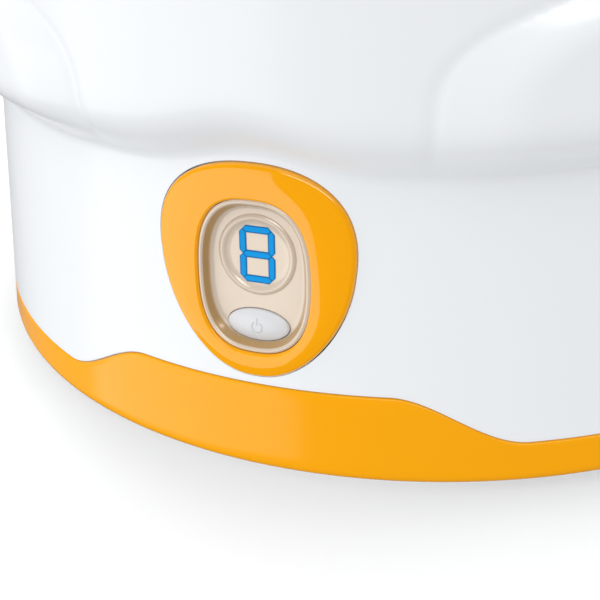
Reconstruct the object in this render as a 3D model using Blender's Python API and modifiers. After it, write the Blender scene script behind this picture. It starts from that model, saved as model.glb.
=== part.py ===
"""Electric yogurt maker with seven glass jars under a clear domed lid.

Run it in Blender's text editor, or with: blender --background --python part.py
Metres, +Z up. The origin is on the table, under the centre of the machine, and the
control panel faces -Y. Each sub-part is its own object.

Azimuths are measured round the Z axis from the front (-Y), positive towards +X.
Heights whose names end in _UP are measured from the base ring's lower edge.
"""

import math

import bmesh
import bpy
from mathutils import Matrix, Vector

MM = 0.001

# Fits
GAP = 0.3 * MM  # between pieces that touch
SLIDING = 1.5 * MM  # around a piece that is lifted out by hand
CHAMFER = 0.8 * MM  # on the edges of small moulded pieces

# Jars: one in the middle and the others on a circle round it
JAR_COUNT_AROUND = 6
JAR_RADIUS = 32.5 * MM
JAR_SPACING = 5.0 * MM
JAR_HEIGHT = 72.0 * MM
JAR_WALL = 2.4 * MM
JAR_BOTTOM = 3.4 * MM
JAR_NECK_RADIUS = 27.5 * MM
JAR_NECK_HEIGHT = 12.0 * MM
JAR_SHOULDER_HEIGHT = 6.0 * MM
JAR_FILLET = 3.0 * MM
CAP_WALL = 1.6 * MM
CAP_SKIRT = 9.0 * MM

# Casing wall
WALL = 2.5 * MM
WALL_LEAN = 0.1089  # radius lost for each unit of height
BAY = 20.65 * MM  # from the well to the foot of the casing
UPPER_LEAN = 0.02
OVERHANG = 6.9 * MM
OVERHANG_HEIGHT = 18.0 * MM
CREASE_UP = 66.0 * MM
CREASE_RISE = 2.2 * MM  # that its ends climb at the sides
CREASE_ARCH = 4.2 * MM
CREASE_ARCH_WIDTH = math.radians(8)
EAR_OUT = 3.6 * MM
EAR_EDGE = math.radians(17)
EAR_DROP = 27.0 * MM  # from the shoulder down to where the ear's arch springs
EAR_ARCH_RISE = 33.0 * MM
EAR_ARCH_POWER = 2.7
EAR_SOFTNESS = 0.3
SHOULDER_WIDTH = 9.0 * MM
SHOULDER_HEIGHT = 11.0 * MM
LEDGE_WIDTH = 6.5 * MM
LEDGE_THICKNESS = 2.5 * MM
RIM_WALL = 4.2 * MM

# Base ring and base plate
RING_ROUNDING = 2.6 * MM
RING_PLATEAU_UP = 20.7 * MM
RING_TROUGH_UP = 9.8 * MM
PLATEAU_EDGE = math.radians(13.5)
TROUGH_EDGE = math.radians(27)
RING_FOOT_LAND = 5.0 * MM
RING_FLANGE = 2.4 * MM
RING_FLANGE_THICKNESS = 2.5 * MM
BASE_PLATE = 4.0 * MM

# Feet and base screws
FOOT_RADIUS = 9.0 * MM
FOOT_STAND = 1.6 * MM
FOOT_RECESS = 2.0 * MM
FOOT_INSET = 30.0 * MM  # from the foot of the casing to the middle of a foot
CORNER_AZIMUTHS = [math.radians(45 + 90 * k) for k in range(4)]
SCREW_INSET = 13.2 * MM
SCREW_HEAD_RADIUS = 3.2 * MM
SCREW_HEAD = 2.0 * MM
SCREW_RADIUS = 1.5 * MM
SCREW_LENGTH = 14.0 * MM
SCREW_RECESS = 2.4 * MM
SCREW_POINT = 1.0 * MM
SCREW_HEAD_EDGE = 0.5 * MM
BOSS_RADIUS = 4.0 * MM
BOSS_HEIGHT = 36.0 * MM
RIB_HEIGHT = 16.0 * MM
RIB_WIDTH = 3.0 * MM

# Power board
BOARD = 1.6 * MM
BOARD_X = 96.0 * MM
BOARD_Y = 66.0 * MM
BOARD_EDGE = 6.0 * MM
PARTS_APART = 5.0 * MM
POST_RADIUS = 3.0 * MM
POST_HEIGHT = 3.8 * MM
TRANSFORMER = (30 * MM, 26 * MM, 12 * MM)
RELAY = (19 * MM, 15 * MM, 11.5 * MM)
TERMINAL_BLOCK = (12 * MM, 27 * MM, 10 * MM)
CAPACITOR_RADIUS = 5.0 * MM
CAPACITOR_HEIGHT = 11.0 * MM
BUZZER_RADIUS = 6.0 * MM
BUZZER_HEIGHT = 8.0 * MM
BUZZER_HOLE = 1.2 * MM
TRANSFORMER_Y = 6.0 * MM
RELAY_Y = 14.0 * MM
ROUND_PARTS_Y = -16.0 * MM

# Heater under the well
INSULATOR = 1.2 * MM
INSULATOR_RADIUS = 86.0 * MM
ELEMENT_RADIUS = 60.0 * MM
ELEMENT_TUBE = 2.7 * MM
ELEMENT_OPENING = math.radians(10)
ELEMENT_LEG = 3.2 * MM  # how far its legs reach below the insulator
HEATING_PLATE = 2.5 * MM
HEATING_PLATE_RADIUS = 88.0 * MM
THERMOSTAT_RADIUS = 8.0 * MM
THERMOSTAT_HEIGHT = 9.0 * MM
THERMOSTAT_STEP = 1.5 * MM
FUSE_RADIUS = 2.0 * MM
FUSE_LENGTH = 16.0 * MM
SENSOR_RADIUS = 2.5 * MM
PROBE_OFFSET = 28.0 * MM  # of the fuse and the sensor from the middle
LEAD_RADIUS = 1.3 * MM

# Well
WELL_WALL = 1.5 * MM
WELL_FLANGE = 5.2 * MM
WELL_FILLET = 4.0 * MM
SEAL = 1.6 * MM
SEAL_INSET = 0.9 * MM  # from either edge of the flange it lies under
RIM_ABOVE_CAPS = 9.5 * MM

# Lid
LID_WALL = 2.5 * MM
LID_RISE = 28.0 * MM
LID_FLANGE = 6.0 * MM
LID_LIP = 3.5 * MM
KNOB_HEIGHT = 16.0 * MM
KNOB_RADIUS = 17.0 * MM
KNOB_NECK = 9.0 * MM
KNOB_BASE = 12.5 * MM
KNOB_SCREW_RADIUS = 2.0 * MM
KNOB_SCREW_HEAD = 4.5 * MM
KNOB_SCREW_HEAD_HEIGHT = 2.4 * MM
KNOB_SCREW_REACH = 8.0 * MM

# Control panel, in its own frame: x across, y up the wall, z out of the wall
PANEL_UP = 46.0 * MM
BEZEL_HALF_WIDTH = 21.65 * MM
BEZEL_HALF_HEIGHT = 23.2 * MM
BEZEL_TAPER = 0.197
BEZEL_POWER = 2.21
BEZEL_PROUD = 1.2 * MM
BEZEL_BACK = 2.3 * MM
BEZEL_EDGE = 0.9 * MM
BEZEL_LIP = 0.6 * MM
WINDOW_HALF_WIDTH = 12.93 * MM
WINDOW_HALF_HEIGHT = 16.8 * MM
WINDOW_POWER = 2.62
WINDOW_DROP = 1.1 * MM
WINDOW_DEPTH = 2.6 * MM
WINDOW_WALL = 1.2 * MM
WINDOW_DRAFT = 0.9 * MM
LENS_RADIUS = 8.8 * MM
LENS_CROWN = 0.6 * MM
DIGIT_UP = 3.1 * MM
DISPLAY = (12.6 * MM, 18.6 * MM, 5.0 * MM)
CONTROL_BOARD = (34 * MM, 36 * MM, 1.6 * MM)
CONTROL_BOARD_DROP = 2.0 * MM
BUTTON_HALF_WIDTH = 7.1 * MM
BUTTON_HALF_HEIGHT = 3.5 * MM
BUTTON_DOWN = 12.4 * MM
BUTTON_PROUD = 1.3 * MM
BUTTON_CROWN = 0.7 * MM
BUTTON_FLANGE = 1.2 * MM
BUTTON_FLANGE_WIDTH = 1.0 * MM
BUTTON_TRAVEL = 0.8 * MM
PLUNGER_RADIUS = 1.6 * MM
PLUNGER_ENTRY = 0.9 * MM
SWITCH_SIDE = 6.0 * MM

# Cord gland in the rear of the base ring
GLAND_UP = 13.2 * MM
GLAND_BORE = 3.6 * MM
GLAND_NECK = 4.6 * MM
GLAND_FLANGE = 5.9 * MM
GLAND_LIP = 0.6 * MM
GLAND_BACK = 1.6 * MM

# Segments of round pieces
PANEL_SEGMENTS = 40
JAR_SEGMENTS = 16
SMALL_SEGMENTS = 16
WELL_SEGMENTS = 40
ELEMENT_STEPS = 26
LID_ARC_STEPS = 5

# Sizes that follow from the ones above
JAR_CIRCLE = 2 * JAR_RADIUS + JAR_SPACING
WELL_RADIUS = JAR_CIRCLE + JAR_RADIUS + SLIDING
WELL_OUTER = WELL_RADIUS + WELL_WALL
WALL_FOOT = WELL_OUTER + BAY
BASE_Z = FOOT_STAND
PLATE_TOP_Z = BASE_Z + BASE_PLATE
BOARD_Z = PLATE_TOP_Z + POST_HEIGHT + GAP
PARTS_Z = BOARD_Z + BOARD + GAP
TALLEST_PART = max(TRANSFORMER[2], RELAY[2], TERMINAL_BLOCK[2], CAPACITOR_HEIGHT, BUZZER_HEIGHT)
INSULATOR_Z = PARTS_Z + TALLEST_PART + 2 * GAP
ELEMENT_Z = INSULATOR_Z + INSULATOR + GAP
HEATING_PLATE_Z = ELEMENT_Z + 2 * ELEMENT_TUBE + GAP
WELL_Z = HEATING_PLATE_Z + HEATING_PLATE + GAP
JAR_Z = WELL_Z + WELL_WALL + GAP
CAP_TOP_Z = JAR_Z + JAR_HEIGHT + GAP + CAP_WALL
RIM_Z = CAP_TOP_Z + RIM_ABOVE_CAPS
SHOULDER_Z = RIM_Z - SHOULDER_HEIGHT
LEDGE_Z = RIM_Z - SEAL - WELL_WALL - 3 * GAP
LEDGE_INNER = WELL_OUTER + SLIDING
LEDGE_OUTER = LEDGE_INNER + LEDGE_WIDTH
CREASE_Z = BASE_Z + CREASE_UP
PANEL_Z = BASE_Z + PANEL_UP
PANEL_TILT = math.atan(WALL_LEAN)
FLOOR_BACK = WINDOW_DEPTH + WINDOW_WALL
BOARD_FACE = FLOOR_BACK + GAP + DISPLAY[2] + GAP
CONTROL_BOARD_BOTTOM = -CONTROL_BOARD_DROP - CONTROL_BOARD[1] / 2


# Scene, collections and materials


def clear_scene():
    for obj in list(bpy.data.objects):
        bpy.data.objects.remove(obj, do_unlink=True)


def new_collection(name):
    collection = bpy.data.collections.new(name)
    bpy.context.scene.collection.children.link(collection)
    return collection


def linear(hex_colour):
    """The linear colour of an sRGB hex value such as F9A81B."""
    shades = [int(hex_colour[i : i + 2], 16) / 255 for i in (0, 2, 4)]
    return [c / 12.92 if c <= 0.04045 else ((c + 0.055) / 1.055) ** 2.4 for c in shades] + [1.0]


def finish(obj, hex_colour, roughness, metallic=0.0):
    """Gives the object its own Principled material."""
    material = bpy.data.materials.new(obj.name + "_finish")
    material.use_nodes = True
    shader = material.node_tree.nodes["Principled BSDF"]
    shader.inputs["Base Color"].default_value = linear(hex_colour)
    shader.inputs["Roughness"].default_value = roughness
    shader.inputs["Metallic"].default_value = metallic
    material.diffuse_color = linear(hex_colour)
    obj.data.materials.clear()
    obj.data.materials.append(material)
    return obj


# Shapes


def add(name, mesh, collection=None, parent=None, location=(0, 0, 0)):
    obj = bpy.data.objects.new(name, mesh)
    (collection or parts).objects.link(obj)
    obj.parent = parent
    obj.location = location
    if collection is cutters:
        obj.hide_render = True
        obj.display_type = "WIRE"
    return obj


def smooth(obj, angle=35):
    obj.data.shade_smooth()
    obj.data.set_sharp_from_angle(angle=math.radians(angle))
    return obj


def mesh_from(bm, name):
    bmesh.ops.recalc_face_normals(bm, faces=bm.faces)
    mesh = bpy.data.meshes.new(name)
    bm.to_mesh(mesh)
    bm.free()
    return mesh


def loft(name, rings, closed=False, **place):
    """Skins a row of rings with equal numbers of points: closed into a loop, or capped."""
    bm = bmesh.new()
    rows = [[bm.verts.new(point) for point in ring] for ring in rings]
    pairs = list(zip(rows, rows[1:]))
    if closed:
        pairs.append((rows[-1], rows[0]))
    else:
        bm.faces.new(rows[0])
        bm.faces.new(rows[-1])
    for lower, upper in pairs:
        for i in range(len(lower)):
            j = (i + 1) % len(lower)
            bm.faces.new((lower[i], lower[j], upper[j], upper[i]))
    return smooth(add(name, mesh_from(bm, name), **place))


def turned(name, profile, segments=SMALL_SEGMENTS, **place):
    """Turns a closed profile of (radius, height) points round Z, outer side first, downwards."""
    mesh = bpy.data.meshes.new(name)
    points = [(r, 0, z) for r, z in profile]
    count = len(points)
    on_axis = [i for i, (r, _) in enumerate(profile) if r == 0]
    edges = [(i, (i + 1) % count) for i in range(count)]
    edges = [edge for edge in edges if not set(edge) <= set(on_axis)]
    mesh.from_pydata(points, edges, [])
    obj = add(name, mesh, **place)
    screw = obj.modifiers.new("Turn", "SCREW")
    screw.steps = segments
    screw.render_steps = segments
    screw.use_merge_vertices = True
    screw.merge_threshold = 0.00001
    screw.use_smooth_shade = False
    return obj


def box(name, size, centre=(0, 0, 0), bevel=0.0, **place):
    bm = bmesh.new()
    bmesh.ops.create_cube(bm, size=1.0, matrix=Matrix.Translation(centre) @ Matrix.Diagonal((*size, 1)))
    obj = add(name, mesh_from(bm, name), **place)
    if bevel:
        edge = obj.modifiers.new("Edges", "BEVEL")
        edge.width = bevel
        edge.segments = 1
    return obj


def cylinder(name, radius, height, segments=SMALL_SEGMENTS, **place):
    """An upright cylinder that stands on its origin."""
    bm = bmesh.new()
    bmesh.ops.create_cone(
        bm,
        cap_ends=True,
        segments=segments,
        radius1=radius,
        radius2=radius,
        depth=height,
        matrix=Matrix.Translation((0, 0, height / 2)),
    )
    return smooth(add(name, mesh_from(bm, name), **place))


def smooth_path(points, spacing):
    """Evenly read points of a Catmull-Rom curve through the given ones."""
    points = [Vector(p) for p in points]
    padded = [2 * points[0] - points[1], *points, 2 * points[-1] - points[-2]]
    path = [points[0]]
    for a, b, c, d in zip(padded, padded[1:], padded[2:], padded[3:]):
        steps = max(1, round((c - b).length / spacing))
        for k in range(1, steps + 1):
            t = k / steps
            bend = 2 * a - 5 * b + 4 * c - d
            twist = 3 * b - a - 3 * c + d
            path.append((2 * b + (c - a) * t + bend * t**2 + twist * t**3) / 2)
    return path


def tube(name, points, radius, resolution=2):
    """A round wire or tube along a row of points, with filled ends."""
    curve = bpy.data.curves.new(name, "CURVE")
    curve.dimensions = "3D"
    curve.bevel_depth = radius
    curve.bevel_resolution = resolution
    curve.use_fill_caps = True
    spline = curve.splines.new("POLY")
    spline.points.add(len(points) - 1)
    for spline_point, point in zip(spline.points, points):
        spline_point.co = (*point, 1)
    obj = bpy.data.objects.new(name, curve)
    parts.objects.link(obj)
    return obj


def boolean(obj, other, operation):
    modifier = obj.modifiers.new(other.name, "BOOLEAN")
    modifier.operation = operation
    modifier.object = other
    modifier.solver = "EXACT"


def cut(obj, *others):
    for other in others:
        boolean(obj, other, "DIFFERENCE")


def at(azimuth, radius, height):
    """The point at this azimuth from the front, radius and height."""
    return (radius * math.sin(azimuth), -radius * math.cos(azimuth), height)


def ease(t):
    t = min(max(t, 0.0), 1.0)
    return t * t * (3 - 2 * t)


# The outer form of the casing


def wall_radius(z):
    """Outer radius of the leaning lower wall, which the base ring shares."""
    return WALL_FOOT - WALL_LEAN * (z - BASE_Z)


def crease_z(azimuth):
    """Height of the crease under the overhang: it climbs to the sides and arches over the panel."""
    front = math.atan2(math.sin(azimuth), math.cos(azimuth))
    arch = CREASE_ARCH * math.exp(-((front / CREASE_ARCH_WIDTH) ** 2))
    return CREASE_Z + CREASE_RISE * math.sin(azimuth) ** 2 + arch


def ear(azimuth, z):
    """How far the side's grip stands out: full inside its arch, nothing outside."""
    side = (math.pi / 2 - math.asin(abs(math.sin(azimuth)))) / (math.pi / 2 - EAR_EDGE)
    up = max(0.0, z - (SHOULDER_Z - EAR_DROP)) / EAR_ARCH_RISE
    inside = 1 - side**EAR_ARCH_POWER - up**EAR_ARCH_POWER
    return EAR_OUT * ease(inside / EAR_SOFTNESS)


def casing_radius(azimuth, z):
    """Outer radius of the casing up to its shoulder."""
    crease = crease_z(azimuth)
    if z <= crease:
        return wall_radius(z)
    upper = wall_radius(CREASE_Z) + OVERHANG - UPPER_LEAN * (z - CREASE_Z)
    left = max(0.0, 1 - (z - crease) / OVERHANG_HEIGHT)
    out = 1 - left**4 * (5 - 4 * left)
    return wall_radius(crease) * (1 - out) + (upper + ear(azimuth, z)) * out


def ring_top(azimuth):
    """Height of the wavy line between ring and housing: high at the front and the rear."""
    from_end = math.asin(abs(math.sin(azimuth)))
    fall = ease((from_end - PLATEAU_EDGE) / (TROUGH_EDGE - PLATEAU_EDGE))
    return BASE_Z + RING_PLATEAU_UP * (1 - fall) + RING_TROUGH_UP * fall


def casing_azimuths():
    """Columns round the casing: even, with more where the wavy line falls."""
    even = [math.radians(9 * k) for k in range(40)]
    near = [PLATEAU_EDGE + (TROUGH_EDGE - PLATEAU_EDGE) * k / 5 for k in range(6)]
    waves = [sign * angle + half for angle in near for sign in (1, -1) for half in (0, math.pi)]
    kept = [a for a in even if not PLATEAU_EDGE < math.asin(abs(math.sin(a))) < TROUGH_EDGE]
    return sorted(angle % (2 * math.pi) for angle in kept + waves)


# Casing


def housing_section(azimuth):
    """The housing's wall at this azimuth: outside going up, then the ledge and the inside."""
    foot = ring_top(azimuth) + GAP / 2
    crease = crease_z(azimuth)
    brow = crease + OVERHANG_HEIGHT
    heights = [foot, crease - GAP]
    heights += [crease + OVERHANG_HEIGHT * k / 4 for k in range(1, 5)]
    heights += [brow + (SHOULDER_Z - brow) * k / 3 for k in range(1, 4)]
    outside = [(casing_radius(azimuth, z), z) for z in heights]
    shoulder = casing_radius(azimuth, SHOULDER_Z)
    land = LEDGE_OUTER + RIM_WALL
    for k in range(1, 3):
        turn = math.radians(45 * k)
        outside.append(
            (land + (shoulder - land) * math.cos(turn), SHOULDER_Z + SHOULDER_HEIGHT * math.sin(turn))
        )
    under = LEDGE_Z - LEDGE_THICKNESS
    ledge = [(LEDGE_OUTER, RIM_Z), (LEDGE_OUTER, LEDGE_Z), (LEDGE_INNER, LEDGE_Z), (LEDGE_INNER, under)]
    inner_heights = [under, brow, crease, foot]
    inside = [(casing_radius(azimuth, z) - WALL, z) for z in inner_heights]
    return outside + ledge + inside


def make_housing():
    sections = [[at(a, r, z) for r, z in housing_section(a)] for a in casing_azimuths()]
    housing = loft("housing", sections, closed=True)
    for k, azimuth in enumerate(CORNER_AZIMUTHS, 1):
        boss_z = PLATE_TOP_Z + GAP
        radius = WALL_FOOT - SCREW_INSET
        boss = cylinder(f"boss_{k}", BOSS_RADIUS, BOSS_HEIGHT, 12, collection=cutters)
        boss.location = at(azimuth, radius, boss_z)
        rib_z = boss_z + BOSS_HEIGHT - RIB_HEIGHT / 2
        rib_length = wall_radius(rib_z) - WALL / 2 - radius
        rib = box(
            f"rib_{k}",
            (RIB_WIDTH, rib_length, RIB_HEIGHT - GAP),
            (0, -rib_length / 2, rib_z - GAP),
            collection=cutters,
        )
        rib.location = at(azimuth, radius, 0)
        rib.rotation_euler.z = azimuth
        hole = cylinder(f"boss_hole_{k}", SCREW_RADIUS + GAP, SCREW_LENGTH, 12, collection=cutters)
        hole.location = at(azimuth, radius, boss_z - 2 * GAP)
        boolean(housing, boss, "UNION")
        boolean(housing, rib, "UNION")
        cut(housing, hole)
    ends = (-3 * WALL, 2 * WALL)
    opening = [outline_ring(panel_outline, GAP, w, flat=True) for w in ends]
    cutter = loft("bezel_opening", opening, collection=cutters, parent=panel)
    cut(housing, cutter)
    finish(housing, "F1F3F5", 0.22)


def ring_section(azimuth):
    """The base ring's section: outside going up, inside going down, then its flange and foot."""
    top = ring_top(azimuth) - GAP / 2
    middle = BASE_Z + RING_ROUNDING
    section = []
    for k in range(4):
        turn = math.radians(90 - 30 * k)
        radius = wall_radius(middle) - RING_ROUNDING * (1 - math.cos(turn))
        section.append((radius, middle - RING_ROUNDING * math.sin(turn)))
    section += [(wall_radius(top), top), (wall_radius(top) - WALL, top)]
    flange_z = PLATE_TOP_Z + GAP
    inner = WALL_FOOT - RING_FOOT_LAND
    shelf = flange_z + RING_FLANGE_THICKNESS
    section += [(wall_radius(shelf) - WALL, shelf), (inner - RING_FLANGE, shelf)]
    section += [(inner - RING_FLANGE, flange_z), (inner, flange_z), (inner, BASE_Z)]
    return section


def make_base_ring():
    sections = [[at(a, r, z) for r, z in ring_section(a)] for a in casing_azimuths()]
    ring = loft("base_ring", sections, closed=True)
    hole = cylinder("gland_hole", GLAND_NECK + GAP, 4 * WALL, 20, collection=cutters, parent=rear)
    hole.location = (0, 0, -2 * WALL)
    cut(ring, hole)
    finish(ring, "F9A81B", 0.2)


def make_base_plate():
    radius = WALL_FOOT - RING_FOOT_LAND - GAP
    faces = [[at(a, radius, z) for a in casing_azimuths()] for z in (BASE_Z, PLATE_TOP_Z)]
    plate = loft("base_plate", faces)
    for k, azimuth in enumerate(CORNER_AZIMUTHS, 1):
        screw_at = at(azimuth, WALL_FOOT - SCREW_INSET, 0)
        recess = cylinder(
            f"head_recess_{k}", SCREW_HEAD_RADIUS + GAP, 2 * SCREW_RECESS, 12, collection=cutters
        )
        recess.location = (*screw_at[:2], BASE_Z - SCREW_RECESS)
        hole = cylinder(f"screw_hole_{k}", SCREW_RADIUS + GAP, 2 * BASE_PLATE, 12, collection=cutters)
        hole.location = (*screw_at[:2], BASE_Z - GAP)
        seat = cylinder(f"foot_recess_{k}", FOOT_RADIUS + GAP, 2 * FOOT_RECESS, collection=cutters)
        seat.location = at(azimuth, WALL_FOOT - FOOT_INSET, BASE_Z - FOOT_RECESS)
        cut(plate, recess, hole, seat)
    for k, (x, y) in enumerate(board_posts(), 1):
        post = cylinder(f"board_post_{k}", POST_RADIUS, POST_HEIGHT + GAP, 12, collection=cutters)
        post.location = (x, y, PLATE_TOP_Z - GAP)
        boolean(plate, post, "UNION")
    finish(plate, "D9DBDD", 0.45)


def make_feet_and_screws():
    for k, azimuth in enumerate(CORNER_AZIMUTHS, 1):
        height = FOOT_STAND + FOOT_RECESS - GAP
        edge = FOOT_RADIUS - CHAMFER
        profile = [(0, height), (FOOT_RADIUS, height), (FOOT_RADIUS, CHAMFER), (edge, 0), (0, 0)]
        foot = turned(f"foot_{k}", profile, location=at(azimuth, WALL_FOOT - FOOT_INSET, 0))
        finish(foot, "3A3A3C", 0.8)
        head_z = BASE_Z + SCREW_RECESS - SCREW_HEAD - GAP
        tip = SCREW_HEAD + SCREW_LENGTH - 3 * GAP
        profile = [
            (0, tip),
            (SCREW_RADIUS, tip - SCREW_POINT),
            (SCREW_RADIUS, SCREW_HEAD),
            (SCREW_HEAD_RADIUS, SCREW_HEAD),
            (SCREW_HEAD_RADIUS, SCREW_HEAD_EDGE),
            (SCREW_HEAD_RADIUS - SCREW_HEAD_EDGE, 0),
            (0, 0),
        ]
        place = at(azimuth, WALL_FOOT - SCREW_INSET, head_z)
        screw = turned(f"base_screw_{k}", profile, 12, location=place)
        finish(screw, "B9BCC0", 0.3, 1.0)


def make_cord_gland():
    """A rubber bush clipped in the ring's rear wall, square to it, with a bore for the cord."""
    behind = WALL + 2 * GAP
    face = GAP + GLAND_LIP
    profile = [
        (GLAND_BORE, face),
        (GLAND_FLANGE - GLAND_LIP / 2, face),
        (GLAND_FLANGE, face - GLAND_LIP / 2),
        (GLAND_FLANGE, GAP),
        (GLAND_NECK, GAP),
        (GLAND_NECK, -behind),
        (GLAND_FLANGE, -behind),
        (GLAND_FLANGE, -behind - GLAND_BACK),
        (GLAND_BORE, -behind - GLAND_BACK),
    ]
    gland = turned("cord_gland", profile, parent=rear)
    finish(gland, "DDDEE0", 0.6)


# Power board and what is on it


def board_posts():
    x = BOARD_X / 2 - BOARD_EDGE
    y = BOARD_Y / 2 - BOARD_EDGE
    return [(x, y), (-x, y), (-x, -y), (x, -y)]


def on_board(name, size, x, y, hex_colour, roughness):
    """A box-shaped component that stands on the power board."""
    component = box(name, size, (0, 0, size[2] / 2), bevel=CHAMFER, location=(x, y, PARTS_Z))
    return finish(component, hex_colour, roughness)


def make_power_board():
    board = box("power_board", (BOARD_X, BOARD_Y, BOARD), (0, 0, BOARD_Z + BOARD / 2))
    finish(board, "2F6B3C", 0.4)
    left = -BOARD_X / 2 + BOARD_EDGE + TRANSFORMER[0] / 2
    beside = left + TRANSFORMER[0] / 2 + PARTS_APART
    on_board("transformer", TRANSFORMER, left, TRANSFORMER_Y, "3B3F46", 0.5)
    on_board("relay", RELAY, beside + RELAY[0] / 2, RELAY_Y, "2A5CA8", 0.35)
    on_board("terminal_block", TERMINAL_BLOCK, terminal_x(), 0, "3E8B4E", 0.5)
    capacitor_x = beside + CAPACITOR_RADIUS
    capacitor = cylinder("capacitor", CAPACITOR_RADIUS, CAPACITOR_HEIGHT)
    capacitor.location = (capacitor_x, ROUND_PARTS_Y, PARTS_Z)
    finish(capacitor, "22252B", 0.3)
    profile = [
        (BUZZER_HOLE, BUZZER_HEIGHT),
        (BUZZER_RADIUS, BUZZER_HEIGHT),
        (BUZZER_RADIUS, 0),
        (0, 0),
        (0, BUZZER_HEIGHT / 2),
        (BUZZER_HOLE, BUZZER_HEIGHT / 2),
    ]
    buzzer_x = capacitor_x + CAPACITOR_RADIUS + PARTS_APART + BUZZER_RADIUS
    buzzer = turned("buzzer", profile, location=(buzzer_x, ROUND_PARTS_Y, PARTS_Z))
    finish(buzzer, "17181A", 0.5)


def terminal_x():
    return BOARD_X / 2 - BOARD_EDGE - TERMINAL_BLOCK[0] / 2 - POST_RADIUS


# Heater


def element_end(sign):
    """Where one leg of the heating element stands, at (x, y)."""
    angle = sign * ELEMENT_OPENING
    return (ELEMENT_RADIUS * math.cos(angle), ELEMENT_RADIUS * math.sin(angle))


def make_heater():
    radius = THERMOSTAT_RADIUS + 2 * SLIDING
    top = INSULATOR_Z + INSULATOR
    profile = [(radius, top), (INSULATOR_RADIUS, top), (INSULATOR_RADIUS, INSULATOR_Z), (radius, INSULATOR_Z)]
    insulator = turned("plate_insulator", profile, 32)
    leg_bottom = INSULATOR_Z - ELEMENT_LEG
    middle = ELEMENT_Z + ELEMENT_TUBE
    for k, sign in enumerate((1, -1), 1):
        x, y = element_end(sign)
        hole = cylinder(f"leg_hole_{k}", ELEMENT_TUBE + SLIDING, 3 * INSULATOR, 12, collection=cutters)
        hole.location = (x, y, INSULATOR_Z - INSULATOR)
        cut(insulator, hole)
    finish(insulator, "C9B68C", 0.8)

    sweep = 2 * math.pi - 2 * ELEMENT_OPENING
    arc = [ELEMENT_OPENING + sweep * k / ELEMENT_STEPS for k in range(ELEMENT_STEPS + 1)]
    loop = [(ELEMENT_RADIUS * math.cos(a), ELEMENT_RADIUS * math.sin(a), middle) for a in arc]
    path = [(*element_end(1), leg_bottom), *loop, (*element_end(-1), leg_bottom)]
    finish(tube("heating_element", path, ELEMENT_TUBE, 1), "8C8F92", 0.35, 1.0)

    plate = cylinder("heating_plate", HEATING_PLATE_RADIUS, HEATING_PLATE, 40)
    plate.location.z = HEATING_PLATE_Z
    finish(plate, "C6C8CB", 0.35, 1.0)

    under = HEATING_PLATE_Z - GAP
    thermostat = turned(
        "thermostat",
        [
            (0, 0),
            (THERMOSTAT_RADIUS, 0),
            (THERMOSTAT_RADIUS, -THERMOSTAT_HEIGHT / 2),
            (THERMOSTAT_RADIUS - THERMOSTAT_STEP, -THERMOSTAT_HEIGHT / 2),
            (THERMOSTAT_RADIUS - THERMOSTAT_STEP, -THERMOSTAT_HEIGHT),
            (0, -THERMOSTAT_HEIGHT),
        ],
        location=(0, 0, under),
    )
    finish(thermostat, "A9ACB0", 0.3, 1.0)
    fuse = cylinder("thermal_fuse", FUSE_RADIUS, FUSE_LENGTH, 12)
    fuse.location = (-FUSE_LENGTH / 2, PROBE_OFFSET, under - FUSE_RADIUS)
    fuse.rotation_euler.y = math.pi / 2
    finish(fuse, "E6E3DA", 0.4)
    height = 2 * ELEMENT_TUBE - GAP
    sensor = cylinder("temperature_sensor", SENSOR_RADIUS, height, 12)
    sensor.location = (-PROBE_OFFSET, 0, under - height)
    finish(sensor, "1E2A22", 0.4)

    for name, sign in (("heater_lead_live", 1), ("heater_lead_neutral", -1)):
        x, y = element_end(sign)
        lead_z = PARTS_Z + TERMINAL_BLOCK[2] / 2
        end_x = terminal_x() + TERMINAL_BLOCK[0] / 2 + GAP
        drop = leg_bottom - GAP - lead_z
        route = [
            (x, y, leg_bottom - GAP),
            (x, y, leg_bottom - GAP - drop / 3),
            (x - (x - end_x) * 0.25, y, lead_z + drop / 6),
            (x - (x - end_x) * 0.6, y, lead_z),
            (end_x, y, lead_z),
        ]
        lead = tube(name, smooth_path(route, 4 * LEAD_RADIUS), LEAD_RADIUS)
        finish(lead, "B02A25" if sign > 0 else "E9E9E6", 0.5)


# Well and its seal


def make_well():
    top = LEDGE_Z + GAP + SEAL + GAP + WELL_WALL
    bottom = WELL_Z
    floor = WELL_Z + WELL_WALL
    fillet = WELL_FILLET * (1 - math.sqrt(0.5))
    seat = JAR_SPACING / 2 + JAR_RADIUS
    profile = [
        (WELL_RADIUS, top),
        (LEDGE_INNER + WELL_FLANGE, top),
        (LEDGE_INNER + WELL_FLANGE, top - WELL_WALL),
        (WELL_OUTER, top - WELL_WALL),
        (WELL_OUTER, bottom + WELL_FILLET),
        (WELL_OUTER - fillet, bottom + fillet),
        (WELL_OUTER - WELL_FILLET, bottom),
        (seat, bottom),
        (0, bottom),
        (0, floor),
        (seat, floor),
        (WELL_RADIUS - WELL_FILLET + WELL_WALL, floor),
        (WELL_RADIUS, floor + WELL_FILLET - WELL_WALL),
    ]
    well = turned("inner_well", profile, WELL_SEGMENTS)
    finish(well, "E4E6E8", 0.3)
    low = LEDGE_Z + GAP
    inner = LEDGE_INNER + SEAL_INSET
    outer = LEDGE_INNER + WELL_FLANGE - SEAL_INSET
    profile = [(inner, low + SEAL), (outer, low + SEAL), (outer, low), (inner, low)]
    finish(turned("well_seal", profile, WELL_SEGMENTS), "D8DADC", 0.6)


# Control panel


def panel_outline(angle, grow=0.0):
    """The bezel's egg-shaped outline, wider above its middle."""
    return egg(angle, BEZEL_HALF_WIDTH + grow, BEZEL_HALF_HEIGHT + grow, BEZEL_POWER, BEZEL_TAPER, 0)


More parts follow.
